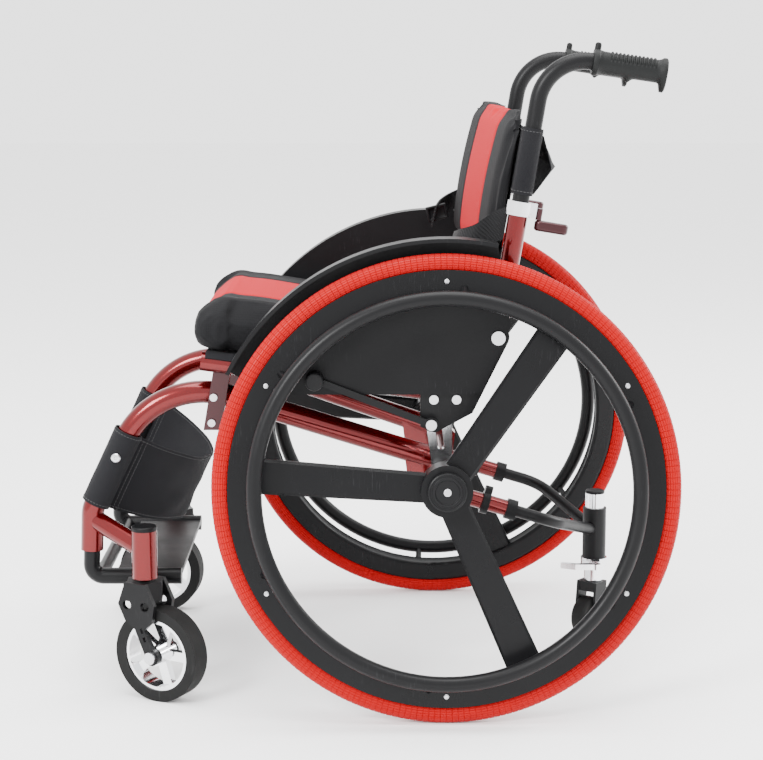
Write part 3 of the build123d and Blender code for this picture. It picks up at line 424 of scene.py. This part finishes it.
# %% Finish: polished aluminium, brushed steel and chrome
def bare_metal(name, colour, roughness, stretch, depth):
    """Bare metal with fine tool marks along one direction."""
    material, tree, shader = new_finish(
        name, Base_Color=(*colour, 1), Metallic=1.0, Roughness=roughness)
    marks = object_noise(tree, 500.0, 4.0, stretch)
    roughness_between(tree, shader, marks, roughness - 0.04, roughness + 0.08)
    smudges = use_effect(tree, grain, Scale=40.0)
    dull = tuple(0.82 * c for c in colour)
    tint(tree, shader, math_node(tree, "MULTIPLY", smudges.outputs["Patches"], 0.5), dull)
    relief(tree, shader, marks, depth, 0.5)
    return material


polished = bare_metal("polished_aluminium", (0.88, 0.88, 0.90), 0.16, (1.0, 1.0, 0.05), 0.00002)
brushed = bare_metal("brushed_steel", (0.62, 0.62, 0.64), 0.26, (0.05, 1.0, 1.0), 0.00004)
chrome = bare_metal("chrome", (0.86, 0.87, 0.89), 0.08, (1.0, 1.0, 1.0), 0.00001)
print("finishes", polished.name, brushed.name, chrome.name)

# %% [markdown]
# Cushions are covered in black spacer mesh with a smooth red band down the middle. The band's
# edge is worked out from the piece's own place across the chair, so it stays crisp however
# fine the mesh of the cushion is. Slings and straps use the weave along their own UV map.

# %% Finish: cushion covers and woven cloth
def cushion_cover(name, half_stripe):
    """Black mesh fabric with a red stripe for |x| up to half_stripe, and painted shade along the stripe's seams.
    """
    material, tree, shader = new_finish(
        name, Base_Color=(0.0045, 0.0045, 0.005, 1), Roughness=0.85,
        Specular_IOR_Level=0.1, Sheen_Weight=0.02, Sheen_Roughness=0.5)
    fabric = use_effect(tree, knit)
    tint(tree, shader, math_node(tree, "MULTIPLY", fabric.outputs["Height"], 0.6),
         (0.010, 0.010, 0.011))
    across = add_node(tree, "SeparateXYZ")
    tree.links.new(add_node(tree, "TexCoord").outputs["Object"], across.inputs[0])
    reach = math_node(tree, "ABSOLUTE", across.outputs["X"])
    band = ramp(tree, reach, half_stripe + 0.0006, half_stripe - 0.0006)
    # The dark red along both seams of the band is painted shade for the seam valley
    seam = ramp(tree, math_node(tree, "ABSOLUTE", math_node(tree, "SUBTRACT", reach, half_stripe)),
                0.0035, 0.0)
    tint(tree, shader, band, (0.34, 0.0015, 0.008))
    tint(tree, shader, math_node(tree, "MULTIPLY", seam, 0.55), (0.09, 0.004, 0.01))
    relief(tree, shader, fabric.outputs["Height"], 0.0003, 0.6)
    return material


def woven(name, colour, light, threads, roughness=0.75):
    """Woven cloth or webbing along the piece's own UV map."""
    material, tree, shader = new_finish(
        name, Base_Color=(*colour, 1), Roughness=roughness,
        Specular_IOR_Level=0.12, Sheen_Weight=0.02, Sheen_Roughness=0.4)
    cloth = use_effect(tree, weave, Threads=threads)
    tree.links.new(add_node(tree, "TexCoord").outputs["UV"], cloth.inputs["Vector"])
    tint(tree, shader, math_node(tree, "MULTIPLY", cloth.outputs["Shade"], 0.7), light)
    patches = use_effect(tree, grain, Scale=60.0)
    roughness_between(tree, shader, patches.outputs["Patches"], roughness - 0.06, roughness + 0.08)
    relief(tree, shader, cloth.outputs["Height"], 0.0004)
    return material


seat_cover = cushion_cover("seat_cover", 0.100)
back_cover = cushion_cover("back_cover", 0.080)
nylon = woven("woven_nylon", (0.004, 0.004, 0.005), (0.011, 0.011, 0.013), 700.0)
webbing = woven("belt_webbing", (0.004, 0.004, 0.0045), (0.014, 0.014, 0.015), 420.0, 0.6)
thread, tree, shader = new_finish("thread", Base_Color=(0.014, 0.014, 0.015, 1), Roughness=0.6)
twist = object_noise(tree, 1500.0)
tint(tree, shader, ramp(tree, twist, 0.4, 0.6), (0.03, 0.03, 0.032))
relief(tree, shader, twist, 0.0002)
print("finishes", seat_cover.name, back_cover.name, nylon.name, webbing.name)

# %% Give every CAD node the finish of its slot
# The dark red paint slot gets the darker copy of candy red, which is painted shade
slot_finish = {
    "red_paint": candy_red, "dark_red_paint": shaded_candy_red, "black_metal": powder_coat,
    "bright_metal": polished, "steel": brushed, "chrome_wheel": chrome,
    "red_tyre": red_rubber, "black_tyre": black_rubber, "black_plastic": moulded,
    "black_rubber": grip_rubber, "black_fabric": nylon, "cushion_fabric": seat_cover,
}
for part in frame["record"]["subparts"]:
    node = frame["nodes"][part["node"]]
    finish = slot_finish[part["material_slot"]]
    if part["node"].startswith("rear_wheel"):
        finish = wheel_black
    node.data.materials.clear()
    node.data.materials.append(finish)
print(len(frame["nodes"]), "CAD nodes finished")

# %% [markdown]
# A rear tyre is a rubber ring with a raised diamond tread. It starts as a torus whose faces
# are already the size of a tread block. Every other face over the crown and shoulders is
# inset and pushed outward, which a single inset does for hundreds of faces at once.

# %% Treaded rear tyres
def treaded_tyre():
    """A tyre about Z with raised blocks over its crown and shoulders."""
    pick()
    bpy.ops.mesh.primitive_torus_add(
        major_segments=240, minor_segments=24, major_radius=tyre_ring, minor_radius=tyre_thick / 2 - 0.0007)
    tyre = bpy.context.object
    for face in tyre.data.polygons:
        x, y, z = face.center
        turn = round(atan2(y, x) / (2 * pi) * 240 - 0.5)
        tilt = atan2(z, hypot(x, y) - tyre_ring)
        ring = round(tilt / (2 * pi) * 24 - 0.5)
        face.select = abs(tilt) < radians(80) and (turn + ring) % 2 == 0
    bpy.ops.object.mode_set(mode="EDIT")
    bpy.ops.mesh.select_mode(type="FACE")
    bpy.ops.mesh.inset(thickness=0.0006, depth=0.0008, use_individual=True)
    bpy.ops.object.mode_set(mode="OBJECT")
    bpy.ops.object.shade_smooth_by_angle(angle=radians(25))
    return tyre


first_tyre = treaded_tyre()
for side, sign in SIDES:
    tyre = copied(first_tyre)
    set_down(tyre, wheel_place(sign))
    settle(tyre, f"tyre_{side}", f"wheel_{side}", red_rubber)
    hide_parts(f"rear_tyre_{side}")
bpy.data.objects.remove(first_tyre)

# %% [markdown]
# Round trim is made as a turner makes it: a circle is extruded along its axis and scaled ring
# by ring, following a list of radii and heights. Hub rings, screws and hand grips all use it.

# %% A helper that turns a profile
def turned(profile, segments=32):
    """A closed round piece about Z from (radius, height) pairs."""
    pick()
    radius, height = profile[0]
    bpy.ops.mesh.primitive_circle_add(
        vertices=segments, radius=radius, fill_type="NGON", location=(0, 0, height))
    piece = bpy.context.object
    bpy.ops.object.transform_apply(location=True)
    bpy.ops.object.mode_set(mode="EDIT")
    bpy.ops.mesh.select_all(action="SELECT")
    for wide, up in profile[1:]:
        bpy.ops.mesh.extrude_region_move(TRANSFORM_OT_translate={"value": (0, 0, up - height)})
        if wide != radius:
            bpy.ops.transform.resize(value=(wide / radius, wide / radius, 1))
        radius, height = wide, up
    bpy.ops.mesh.select_all(action="SELECT")
    bpy.ops.mesh.normals_make_consistent(inside=False)
    bpy.ops.object.mode_set(mode="OBJECT")
    bpy.ops.object.shade_smooth_by_angle(angle=radians(35))
    return piece


# %% Hub rings and the screws round each rim
hub_face, rim_face, screw_ring = 0.046, 0.0125, 0.2645
ring_profile = [(0.0135, hub_face), (0.0242, hub_face), (0.0245, hub_face + 0.0012),
                (0.0225, hub_face + 0.0022),
                (0.0222, hub_face + 0.0012), (0.0195, hub_face + 0.0012), (0.0190, hub_face + 0.0026),
                (0.0160, hub_face + 0.0026), (0.0150, hub_face + 0.0006)]
screw_profile = [(0.0034, 0.0), (0.0034, 0.0012), (0.0028, 0.0020), (0.0018, 0.0023),
                 (0.0016, 0.0023), (0.0014, 0.0011)]
first_ring = turned(ring_profile, 48)
modify(first_ring, "BEVEL", width=0.0003, segments=2, limit_method="ANGLE")
first_screw = turned(screw_profile, 16)
for side, sign in SIDES:
    ring = copied(first_ring)
    set_down(ring, wheel_place(sign))
    settle(ring, f"hub_ring_{side}", f"wheel_{side}", powder_coat)
    screws = []
    for index in range(6):
        turn = radians(60 * index + 30)
        screw = copied(first_screw)
        set_down(screw, Matrix.Translation((screw_ring * cos(turn), screw_ring * sin(turn), rim_face)))
        screws.append(screw)
    screws = joined(screws)
    set_down(screws, wheel_place(sign))
    settle(screws, f"rim_screws_{side}", f"wheel_{side}", brushed)
bpy.data.objects.remove(first_ring)
bpy.data.objects.remove(first_screw)

# %% [markdown]
# The grips are moulded rubber: ribs across the top for the palm, smooth below with one finger
# stop, a peg over the collar, and an end flange that drops down so that the hand can't slip
# off. The ribs are turned all round first, then the lower half is smoothed by moving points.

# %% Ribbed hand grips
grip_drop = radians(8.4)
grip_run = Vector((0, cos(grip_drop), -sin(grip_drop)))
grip_up = Vector((0, sin(grip_drop), cos(grip_drop)))
grip_tip = on_back(post_x, 0.365, 0) + grip_run * 0.155
grip_length, grip_radius, rib_pitch, rib_count = 0.095, 0.0148, 0.005, 12
grip_profile = [(0.0114, 0.0), (0.0166, 0.0), (0.0174, 0.0015), (0.0174, 0.0065), (0.0160, 0.0080),
                (0.0150, 0.0130), (grip_radius, 0.0200)]
for index in range(rib_count):
    start = 0.0215 + index * rib_pitch
    grip_profile += [(grip_radius - 0.0004, start), (grip_radius + 0.0013, start + 0.0010),
                     (grip_radius + 0.0013, start + 0.0028), (grip_radius - 0.0004, start + 0.0038)]
grip_profile += [(grip_radius, 0.0840), (0.0160, 0.0870), (0.0178, 0.0895), (0.0180, 0.0935),
                 (0.0165, 0.0950)]


def hand_grip():
    """One grip about Z, with +Y as its upper side."""
    grip = turned(grip_profile, 48)
    for point in grip.data.vertices:
        x, y, z = point.co
        wide = hypot(x, y)
        if 0.0205 < z < 0.0835 and y < 0.3 * wide:
            point.co.x, point.co.y = x / wide * grip_radius, y / wide * grip_radius
        if z > 0.0885 and y < 0:
            point.co.y *= 1.45
        if y < 0:
            point.co.y -= 0.0052 * exp(-((z - 0.047) / 0.0042) ** 2) * (y / wide) ** 6
    peg = turned([(0.0042, 0.0), (0.0042, 0.0075), (0.0034, 0.0096), (0.0016, 0.0106)], 20)
    set_down(peg, Matrix.Translation((0, 0.0145, 0.0040)) @ Matrix.Rotation(radians(-90), 4, "X"))
    return joined([grip, peg])


first_grip = hand_grip()
for side, sign in SIDES:
    grip = copied(first_grip)
    foot = grip_tip - grip_run * grip_length
    set_down(grip, basis(grip_up.cross(grip_run), grip_up, grip_run, Vector((sign * foot.x, foot.y, foot.z))))
    settle(grip, f"grip_{side}", "push_handles", grip_rubber)
    if sign > 0:
        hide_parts("hand_grips")
bpy.data.objects.remove(first_grip)

# %% [markdown]
# A cushion is foam in a sewn cover. It starts as a block with rounded edges, a little smaller
# than the finished cushion. The cloth simulation then blows the cover up from inside, so the
# faces crown and the sides pull in between the corners. The simulation works on a copy whose
# surface is evenly remeshed, and no point may move further than a cap.

# %% A helper that makes a padded block
def padded_block(size, corner, edge, voxel, reach, pressure=4.0):
    """A cushion about its own middle, with its underside at z = 0 and kept flat."""
    pick()
    bpy.ops.mesh.primitive_cube_add(size=1, location=(0, 0, size[2] / 2), scale=size)
    block = bpy.context.object
    bpy.ops.object.transform_apply(location=True, scale=True)
    for upright, width, steps in ((True, corner, 6), (False, edge, 6)):
        for line in block.data.edges:
            a, b = (block.data.vertices[i].co for i in line.vertices)
            tall = abs(a.z - b.z) > size[2] * 0.9
            level = abs(a.z - b.z) < 1e-6
            line.select = tall if upright else level
        bpy.ops.object.mode_set(mode="EDIT")
        bpy.ops.mesh.select_mode(type="EDGE")
        bpy.ops.mesh.bevel(offset=width, segments=steps)
        bpy.ops.object.mode_set(mode="OBJECT")
    pad = copied(block)
    bpy.data.objects.remove(block)
    modify(pad, "REMESH", mode="VOXEL", voxel_size=voxel)
    blow_up(pad, reach, pressure)
    for point in pad.data.vertices:
        point.co.z = max(point.co.z, 0.0)
    modify(pad, "SUBSURF", levels=1, render_levels=1)
    return pad


def fit(pad, size):
    """Scale a pad to a size across, along and through, with its underside at z = 0."""
    for axis in range(3):
        places = [point.co[axis] for point in pad.data.vertices]
        low, high = min(places), max(places)
        middle = low if axis == 2 else (low + high) / 2
        for point in pad.data.vertices:
            point.co[axis] = (point.co[axis] - middle) * size[axis] / (high - low)
    print("fitted to", size)


def blow_up(pad, reach, pressure):
    """Inflate a pad as cloth, with no point moving further than reach."""
    start = [point.co.copy() for point in pad.data.vertices]
    cloth = pad.modifiers.new("Cloth", "CLOTH")
    cloth.settings.quality = 3
    cloth.settings.use_pressure = True
    cloth.settings.uniform_pressure_force = pressure
    cloth.settings.effector_weights.gravity = 0
    for moment in range(1, 17):
        bpy.context.scene.frame_set(moment)
    pick(pad)
    bpy.ops.object.modifier_apply(modifier=cloth.name)
    bpy.context.scene.frame_set(1)
    for point, rest in zip(pad.data.vertices, start):
        move = point.co - rest
        if move.length > reach:
            point.co = rest + move.normalized() * reach
    print("inflated", len(start), "points")


def sew_stripe(pad, half_stripe, depth, width=0.0035):
    """Pull the cover in along the two seams of its stripe."""
    for point in pad.data.vertices:
        away = abs(abs(point.co.x) - half_stripe)
        point.co -= point.normal * depth * exp(-(away / width) ** 2)


# %% The seat cushion
seat_pad = padded_block((0.376, 0.354, 0.058), 0.035, 0.022, 0.006, 0.009)
fit(seat_pad, (0.386, 0.363, 0.066))
for point in seat_pad.data.vertices:
    across, along = point.co.x / 0.193, point.co.y / 0.18
    lift = min(1.0, point.co.z / 0.05)
    point.co.z += lift * (0.004 * (1 - along ** 2) + 0.003 * exp(-((along + 0.62) / 0.25) ** 2))
    point.co.z -= lift * 0.002 * across ** 2
sew_stripe(seat_pad, 0.100, 0.0016)
set_down(seat_pad, basis(Vector((1, 0, 0)), seat_rear, seat_up, on_seat(0, -0.1555, 0.0168)))
bpy.ops.object.shade_smooth()
settle(seat_pad, "seat_pad", "frame", seat_cover)
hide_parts("seat_cushion")

# %% The back cushion, thickest where it meets the small of the back
back_pad = padded_block((0.332, 0.192, 0.026), 0.030, 0.010, 0.0055, 0.009)
fit(back_pad, (0.343, 0.202, 0.033))
for point in back_pad.data.vertices:
    x, y = point.co.x, point.co.y
    lift = min(1.0, point.co.z / 0.02)
    point.co.z += lift * (0.006 * cos(min(1.0, abs(y + 0.015) / 0.1) * pi / 2) + 0.10 * x - 0.002)
    if y > 0.04:
        point.co.x *= 1 - 0.9 * (y - 0.04) ** 2 / 0.06
sew_stripe(back_pad, 0.080, 0.0014)
set_down(back_pad, basis(Vector((-1, 0, 0)), back_up, -back_rear, on_back(0, 0.189, -0.0152)))
bpy.ops.object.shade_smooth()
settle(back_pad, "back_pad", "push_handles", back_cover)
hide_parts("back_cushion")

# %% [markdown]
# Slings and straps are cut flat and then wrapped round tubes. Each one is a grid whose two
# directions are the cloth's own, moved by a formula that says where the cloth lies. Its UV
# map is scaled to metres, so that the weave has its real size everywhere.

# %% A helper that cuts and lays cloth
def laid_cloth(place, steps, size, thick):
    """A sheet of cloth, size metres across and along, laid by place(s, t) with s and t from 0 to 1."""
    pick()
    bpy.ops.mesh.primitive_grid_add(x_subdivisions=steps[0], y_subdivisions=steps[1], size=1.0)
    cloth = bpy.context.object
    for corner in cloth.data.uv_layers.active.data:
        corner.uv = (corner.uv[0] * size[0], corner.uv[1] * size[1])
    for point in cloth.data.vertices:
        point.co = place(point.co.x + 0.5, point.co.y + 0.5)
    modify(cloth, "SOLIDIFY", thickness=thick, offset=0)
    bpy.ops.object.shade_smooth_by_angle(angle=radians(40))
    return cloth


def ripple(point, scale, depth):
    """A small smooth offset that keeps a cloth from looking machined."""
    return noise.noise(point * scale) * depth


# %% Seat sling, laid over both rails and sagging a little under the cushion
rail_x, rail_radius = 0.185, 0.0125
sling_front, sling_rear = -0.316, -0.038


def seat_sling_place(s, t):
    """From the outside of one rail, over both, to the outside of the other."""
    across = 2 * s - 1
    reach = abs(across)
    along = sling_front + (sling_rear - sling_front) * t
    if reach > 0.93:
        turn = (reach - 0.93) / 0.07 * radians(62)
        x = rail_x + (rail_radius + 0.0012) * sin(turn)
        up = (rail_radius + 0.0012) * cos(turn)
    else:
        x = rail_x * reach / 0.93
        up = rail_radius + 0.0012 - 0.005 * (1 - (reach / 0.93) ** 2)
        up += ripple(Vector((across, t, 3)), 5, 0.0006)
    return on_seat(x if across > 0 else -x, along, up)


seat_cloth = laid_cloth(seat_sling_place, (90, 30), (0.40, 0.281), 0.0018)
settle(seat_cloth, "seat_cloth", "frame", nylon)
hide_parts("seat_sling")

# %% Back sling: two sleeves on the push tubes with a panel between them
sleeve_radius, panel_rear = 0.0130, -0.0128
sleeve_turn = 2 * pi * sleeve_radius
panel_wide = 2 * post_x
sling_wide = panel_wide + 2 * sleeve_turn
sling_low, sleeve_low, sling_high = 0.096, 0.185, 0.271


def back_sling_place(s, t):
    """Once round the right sleeve, across the panel, and once round the left sleeve."""
    up = sleeve_low + (sling_high - sleeve_low) * t
    run = s * sling_wide - sleeve_turn
    radius = sleeve_radius + ripple(Vector((s * 9, t * 3, 0)), 2, 0.0004)
    if 0 <= run <= panel_wide:
        x = run - post_x
        sag = 0.0022 * (1 - (x / post_x) ** 2)
        return on_back(x, up, panel_rear + sag + ripple(Vector((x * 20, t * 2, 1)), 1, 0.0005))
    beyond = -run if run < 0 else run - panel_wide
    turn = beyond / sleeve_turn * 2 * pi
    x = post_x + radius * sin(turn)
    return on_back(x if run > 0 else -x, up, -radius * cos(turn))


def low_panel_place(s, t):
    """The panel below the sleeves, between the posts."""
    x = (2 * s - 1) * 0.164
    return on_back(x, sling_low + (sleeve_low + 0.004 - sling_low) * t,
                   panel_rear + 0.0022 * (1 - (x / post_x) ** 2))


back_cloth = joined([
    laid_cloth(back_sling_place, (150, 14), (sling_wide, sling_high - sleeve_low), 0.0014),
    laid_cloth(low_panel_place, (60, 14), (0.328, 0.093), 0.0014),
])
settle(back_cloth, "back_cloth", "push_handles", nylon)
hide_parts("back_sling")

# %% The pocket flap behind the backrest, folded to a ridge
flap_wide, flap_corner = 0.34, ((0.262, 0.0165), (0.222, 0.0455), (0.186, 0.0155))


def flap_place(s, t):
    """Out from the top edge to the ridge, and back in below it."""
    x = (s - 0.5) * flap_wide
    (u0, v0), (u1, v1), (u2, v2) = flap_corner
    if t < 0.5:
        up, rear = u0 + (u1 - u0) * 2 * t, v0 + (v1 - v0) * 2 * t
    else:
        up, rear = u1 + (u2 - u1) * (2 * t - 1), v1 + (v2 - v1) * (2 * t - 1)
    full = 1 - 0.35 * (2 * s - 1) ** 4 + ripple(Vector((s * 5, t * 2, 7)), 1.4, 0.12)
    return on_back(x, up, v0 + (rear - v0) * full)


flap = laid_cloth(flap_place, (60, 16), (flap_wide, 0.1), 0.0014)
settle(flap, "back_flap", "push_handles", nylon)

# %% [markdown]
# The calf strap stops the feet sliding back under the seat. One long band is sewn into a
# sleeve round each leg tube and hangs in a bow between them. The band's path is a circle round
# one leg, a wide arc, and a circle round the other leg.

# %% Calf strap
leg_x, strap_sag, strap_half = 0.150, 0.115, 0.054
strap_arc = (leg_x ** 2 + strap_sag ** 2) / (2 * strap_sag)
arc_centre = strap_sag - strap_arc
arc_half = pi / 2 - atan2(-arc_centre, leg_x)
sleeve_r = 0.0176
ring_length = 2 * pi * sleeve_r
skip = sleeve_r / strap_arc
band_length = 2 * (arc_half - skip) * strap_arc
strap_length = band_length + 2 * ring_length
leg_dir = Vector((0, 0.0878, 0.184)).normalized()
leg_back = Vector((0, leg_dir.z, -leg_dir.y))
leg_share = (0.300 - 0.243) / (0.427 - 0.243)
leg_point = Vector((0, axle_y - 0.4698 + leg_share * 0.0878, 0.300))


def strap_point(x, back, up):
    """A place near the legs: across, behind them, and along them."""
    return leg_point + Vector((x, 0, 0)) + leg_back * back + leg_dir * up


def calf_place(s, t):
    """Round the right leg, along the bow, and round the left leg."""
    run = s * strap_length - ring_length
    up = (2 * t - 1) * strap_half
    if 0 <= run <= band_length:
        turn = (run / band_length * 2 - 1) * (arc_half - skip)
        hang = 1 - abs(turn / arc_half) ** 2
        radius = strap_arc + ripple(Vector((turn * 2, t * 2, 2)), 1.5, 0.004) * hang
        taper = 1 - 0.10 * hang
        return strap_point(radius * sin(turn), arc_centre + radius * cos(turn), up * taper - 0.006 * hang)
    past = -run if run < 0 else run - band_length
    turn = past / ring_length * 2 * pi
    start = arc_half - skip
    inward = Vector((strap_arc * sin(start) - leg_x, arc_centre + strap_arc * cos(start)))
    first = atan2(inward.y, inward.x)
    radius = sleeve_r + 0.0012 * (1 - turn / (2 * pi)) + ripple(Vector((turn, t * 3, 5)), 1.5, 0.0003)
    x = leg_x + radius * cos(first - turn)
    back = radius * sin(first - turn)
    return strap_point(x if run > 0 else -x, back, up)


calf_band = laid_cloth(calf_place, (200, 30), (strap_length, 2 * strap_half), 0.0016)
settle(calf_band, "calf_band", "frame", nylon)
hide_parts("calf_strap")
print("calf strap", round(strap_length, 3), "m long")

# %% [markdown]
# Rows of stitches hold the sleeves shut and run along the hems. A stitch is a tiny six-sided
# bar, made once, and a row of copies follows a line on the cloth.

# %% Stitches
def stitch_rows(name, lines, body, pitch=0.0045, length=0.003, thick=0.0006):
    """Rows of stitches along lines of points."""
    points, faces = [], []
    for line in lines:
        total = sum((b - a).length for a, b in zip(line, line[1:]))
        count, walked, target = int(total / pitch), 0.0, pitch / 2
        for a, b in zip(line, line[1:]):
            span = (b - a).length
            ahead_dir = (b - a).normalized()
            side_dir = ahead_dir.orthogonal().normalized()
            up_dir = ahead_dir.cross(side_dir)
            while target < walked + span and count > 0:
                middle = a + ahead_dir * (target - walked)
                first = len(points)
                for end, wide in ((-0.5, 0.5), (-0.3, 1.0), (0.3, 1.0), (0.5, 0.5)):
                    for corner in range(4):
                        turn = corner * pi / 2
                        points.append(middle + ahead_dir * length * end
                                      + (side_dir * cos(turn) + up_dir * sin(turn)) * thick * wide)
                for ring in range(3):
                    for corner in range(4):
                        p = first + ring * 4 + corner
                        q = first + ring * 4 + (corner + 1) % 4
                        faces.append((p, q, q + 4, p + 4))
                faces.append(tuple(first + c for c in (3, 2, 1, 0)))
                faces.append(tuple(first + 12 + c for c in (0, 1, 2, 3)))
                target += pitch
                count -= 1
            walked += span
    mesh = bpy.data.meshes.new(name)
    mesh.from_pydata(points, [], faces)
    piece = bpy.data.objects.new(name, mesh)
    bpy.context.scene.collection.objects.link(piece)
    return settle(piece, name, body, thread)


def line_on(place, points, lift):
    """A line over a cloth through (s, t) points, lifted off its surface."""
    line = []
    for s, t in points:
        here = place(s, t)
        across = place(min(1, s + 0.002), t) - place(max(0, s - 0.002), t)
        along = place(s, min(1, t + 0.01)) - place(s, max(0, t - 0.01))
        line.append(here + across.cross(along).normalized() * lift)
    return line


steps = [i / 40 for i in range(41)]
inner = [i / 120 for i in range(121)]
ring_share = ring_length / strap_length
calf_lines = []
for lift in (0.0010, -0.0010):
    for hem in (0.035, 0.965):
        calf_lines.append(line_on(calf_place, [(s, hem) for s in inner], lift))
    for seam in (ring_share + 0.012, ring_share + 0.022, 1 - ring_share - 0.012, 1 - ring_share - 0.022):
        calf_lines.append(line_on(calf_place, [(seam, t) for t in steps], lift))
stitch_rows("calf_stitches", calf_lines, "frame")
back_lines = []
for hem in (0.05, 0.95):
    back_lines.append(line_on(back_sling_place, [(s, hem) for s in inner], -0.0009))
    back_lines.append(line_on(back_sling_place, [(s, hem) for s in inner], 0.0009))
stitch_rows("back_stitches", back_lines, "push_handles")

# %% [markdown]
# A lap belt comes forward from the two posts, just in front of the back cushion. Webbing is a flat ribbon with a
# thick woven body, so it is laid as narrow cloth along a smooth line through a few points. The
# buckle is a block that is bevelled, inset and sunk.

# %% A helper for webbing
def smooth_line(points, t):
    """A place on a smooth line through the points, t from 0 to 1."""
    count = len(points) - 1
    index = min(int(t * count), count - 1)
    f = t * count - index
    p0, p1 = points[max(index - 1, 0)], points[index]
    p2, p3 = points[index + 1], points[min(index + 2, count)]
    return 0.5 * (2 * p1 + (p2 - p0) * f + (2 * p0 - 5 * p1 + 4 * p2 - p3) * f ** 2
                  + (3 * p1 - p0 - 3 * p2 + p3) * f ** 3)


def ribbon(points, sides, width, thick=0.0022):
    """Webbing along points, its width along the direction given at each point."""
    total = sum((b - a).length for a, b in zip(points, points[1:]))

    def place(s, t):
        return smooth_line(points, t) + smooth_line(sides, t).normalized() * width * (s - 0.5)

    strap = laid_cloth(place, (10, 60), (width, total), thick)
    return strap, total


def buckle(name, size, place, body):
    """A moulded buckle: a bevelled block with a sunk window."""
    pick()
    bpy.ops.mesh.primitive_cube_add(size=1, scale=size)
    block = bpy.context.object
    bpy.ops.object.transform_apply(scale=True)
    for line in block.data.edges:
        line.select = False
    for face in block.data.polygons:
        face.select = face.normal.z > 0.9
    bpy.ops.object.mode_set(mode="EDIT")
    bpy.ops.mesh.select_mode(type="FACE")
    bpy.ops.mesh.inset(thickness=min(size[:2]) * 0.16, depth=0)
    bpy.ops.mesh.inset(thickness=min(size[:2]) * 0.03, depth=-size[2] * 0.28)
    bpy.ops.object.mode_set(mode="OBJECT")
    modify(block, "BEVEL", width=min(size) * 0.14, segments=3, limit_method="ANGLE")
    set_down(block, place)
    bpy.ops.object.shade_smooth_by_angle(angle=radians(30))
    return settle(block, name, body, moulded)

# %% The lap belt: one strap from each post, and the buckle on the far one
near_line = [Vector((0.185, 0.172, 0.630)), Vector((0.1795, 0.152, 0.622)), Vector((0.1760, 0.126, 0.607)),
             Vector((0.152, 0.1080, 0.598)), Vector((0.105, 0.1030, 0.591))]
near_side = [back_up, back_up, Vector((0, 0.35, 0.9)), Vector((0.1, 0.3, 0.9)), Vector((0.2, 0.25, 0.9))]
far_line = [Vector((-0.185, 0.170, 0.640)), Vector((-0.1795, 0.140, 0.637)), Vector((-0.172, 0.112, 0.629)),
            Vector((-0.150, 0.095, 0.620)), Vector((-0.118, 0.087, 0.612))]
far_side = [back_up, back_up, Vector((0, 0.3, 0.9)), Vector((0, 0.25, 0.9)), Vector((0, 0.2, 0.9))]
belts = (("belt_near", near_line, near_side, 0.044), ("belt_far", far_line, far_side, 0.032))
for name, line, across, width in belts:
    strap, length = ribbon(line, across, width)
    settle(strap, name, "backrest", webbing)
    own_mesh(strap)
catch = buckle("belt_buckle", (0.030, 0.022, 0.010), basis(
    Vector((0, 0.97, 0.24)).normalized(), Vector((0, -0.24, 0.97)).normalized(), Vector((1, 0, 0)),
    Vector((-0.134, 0.0925, 0.6165))), "backrest")
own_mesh(catch)

# %% [markdown]
# A rivet on the outer side of each leg sleeve keeps the strap from turning. It is a turned
# head, made once and copied to the other side.

# %% Rivets on the calf strap
rivet_profile = [(0.0062, 0), (0.0062, 0.0012), (0.0050, 0.0026), (0.0022, 0.0030),
                 (0.0016, 0.0022)]
first_rivet = turned(rivet_profile, 24)
for side, sign in SIDES:
    rivet = copied(first_rivet)
    place = strap_point(sign * leg_x, 0, 0.018) + Vector((sign * (sleeve_r + 0.0016), 0, 0))
    set_down(rivet, basis(leg_dir, Vector((sign, 0, 0)).cross(leg_dir), Vector((sign, 0, 0)), place))
    settle(rivet, f"calf_rivet_{side}", "frame", brushed)
bpy.data.objects.remove(first_rivet)

# %% [markdown]
# The studio is a plain pale floor and soft light: one broad lamp over the camera's shoulder,
# one above, and a pale world that fills the shadows.

# %% Floor and light
pick()
bpy.ops.mesh.primitive_plane_add(size=30, location=(0, 0, 0))
floor_piece = bpy.context.object
floor_piece.name = "studio_floor"
floor_finish, tree, shader = new_finish("studio_floor", Base_Color=(0.95, 0.95, 0.95, 1), Roughness=0.9)
relief(tree, shader, object_noise(tree, 60.0), 0.0002, 0.2)
floor_piece.data.materials.append(floor_finish)


def soft_lamp(name, place, aim, size, power):
    """A square area lamp that looks at a point."""
    lamp = bpy.data.objects.new(name, bpy.data.lights.new(name, "AREA"))
    lamp.data.size = size
    lamp.data.energy = power
    lamp.location = place
    lamp.rotation_mode = "QUATERNION"
    lamp.rotation_quaternion = (Vector(aim) - Vector(place)).to_track_quat("-Z", "Y")
    bpy.context.scene.collection.objects.link(lamp)


soft_lamp("key_lamp", (3.2, -2.4, 2.8), (0, 0, 0.4), 1.4, 260)
soft_lamp("top_lamp", (0.3, 0.2, 3.4), (0, 0, 0.4), 2.4, 160)
soft_lamp("rear_lamp", (-1.2, 3.2, 2.0), (0, 0, 0.4), 1.6, 110)
world = bpy.data.worlds.new("studio")
bpy.context.scene.world = world
world.use_nodes = True
world.node_tree.nodes["Background"].inputs["Color"].default_value = (1, 1, 1, 1)
world.node_tree.nodes["Background"].inputs["Strength"].default_value = 2.6
print("lamps and floor are set")
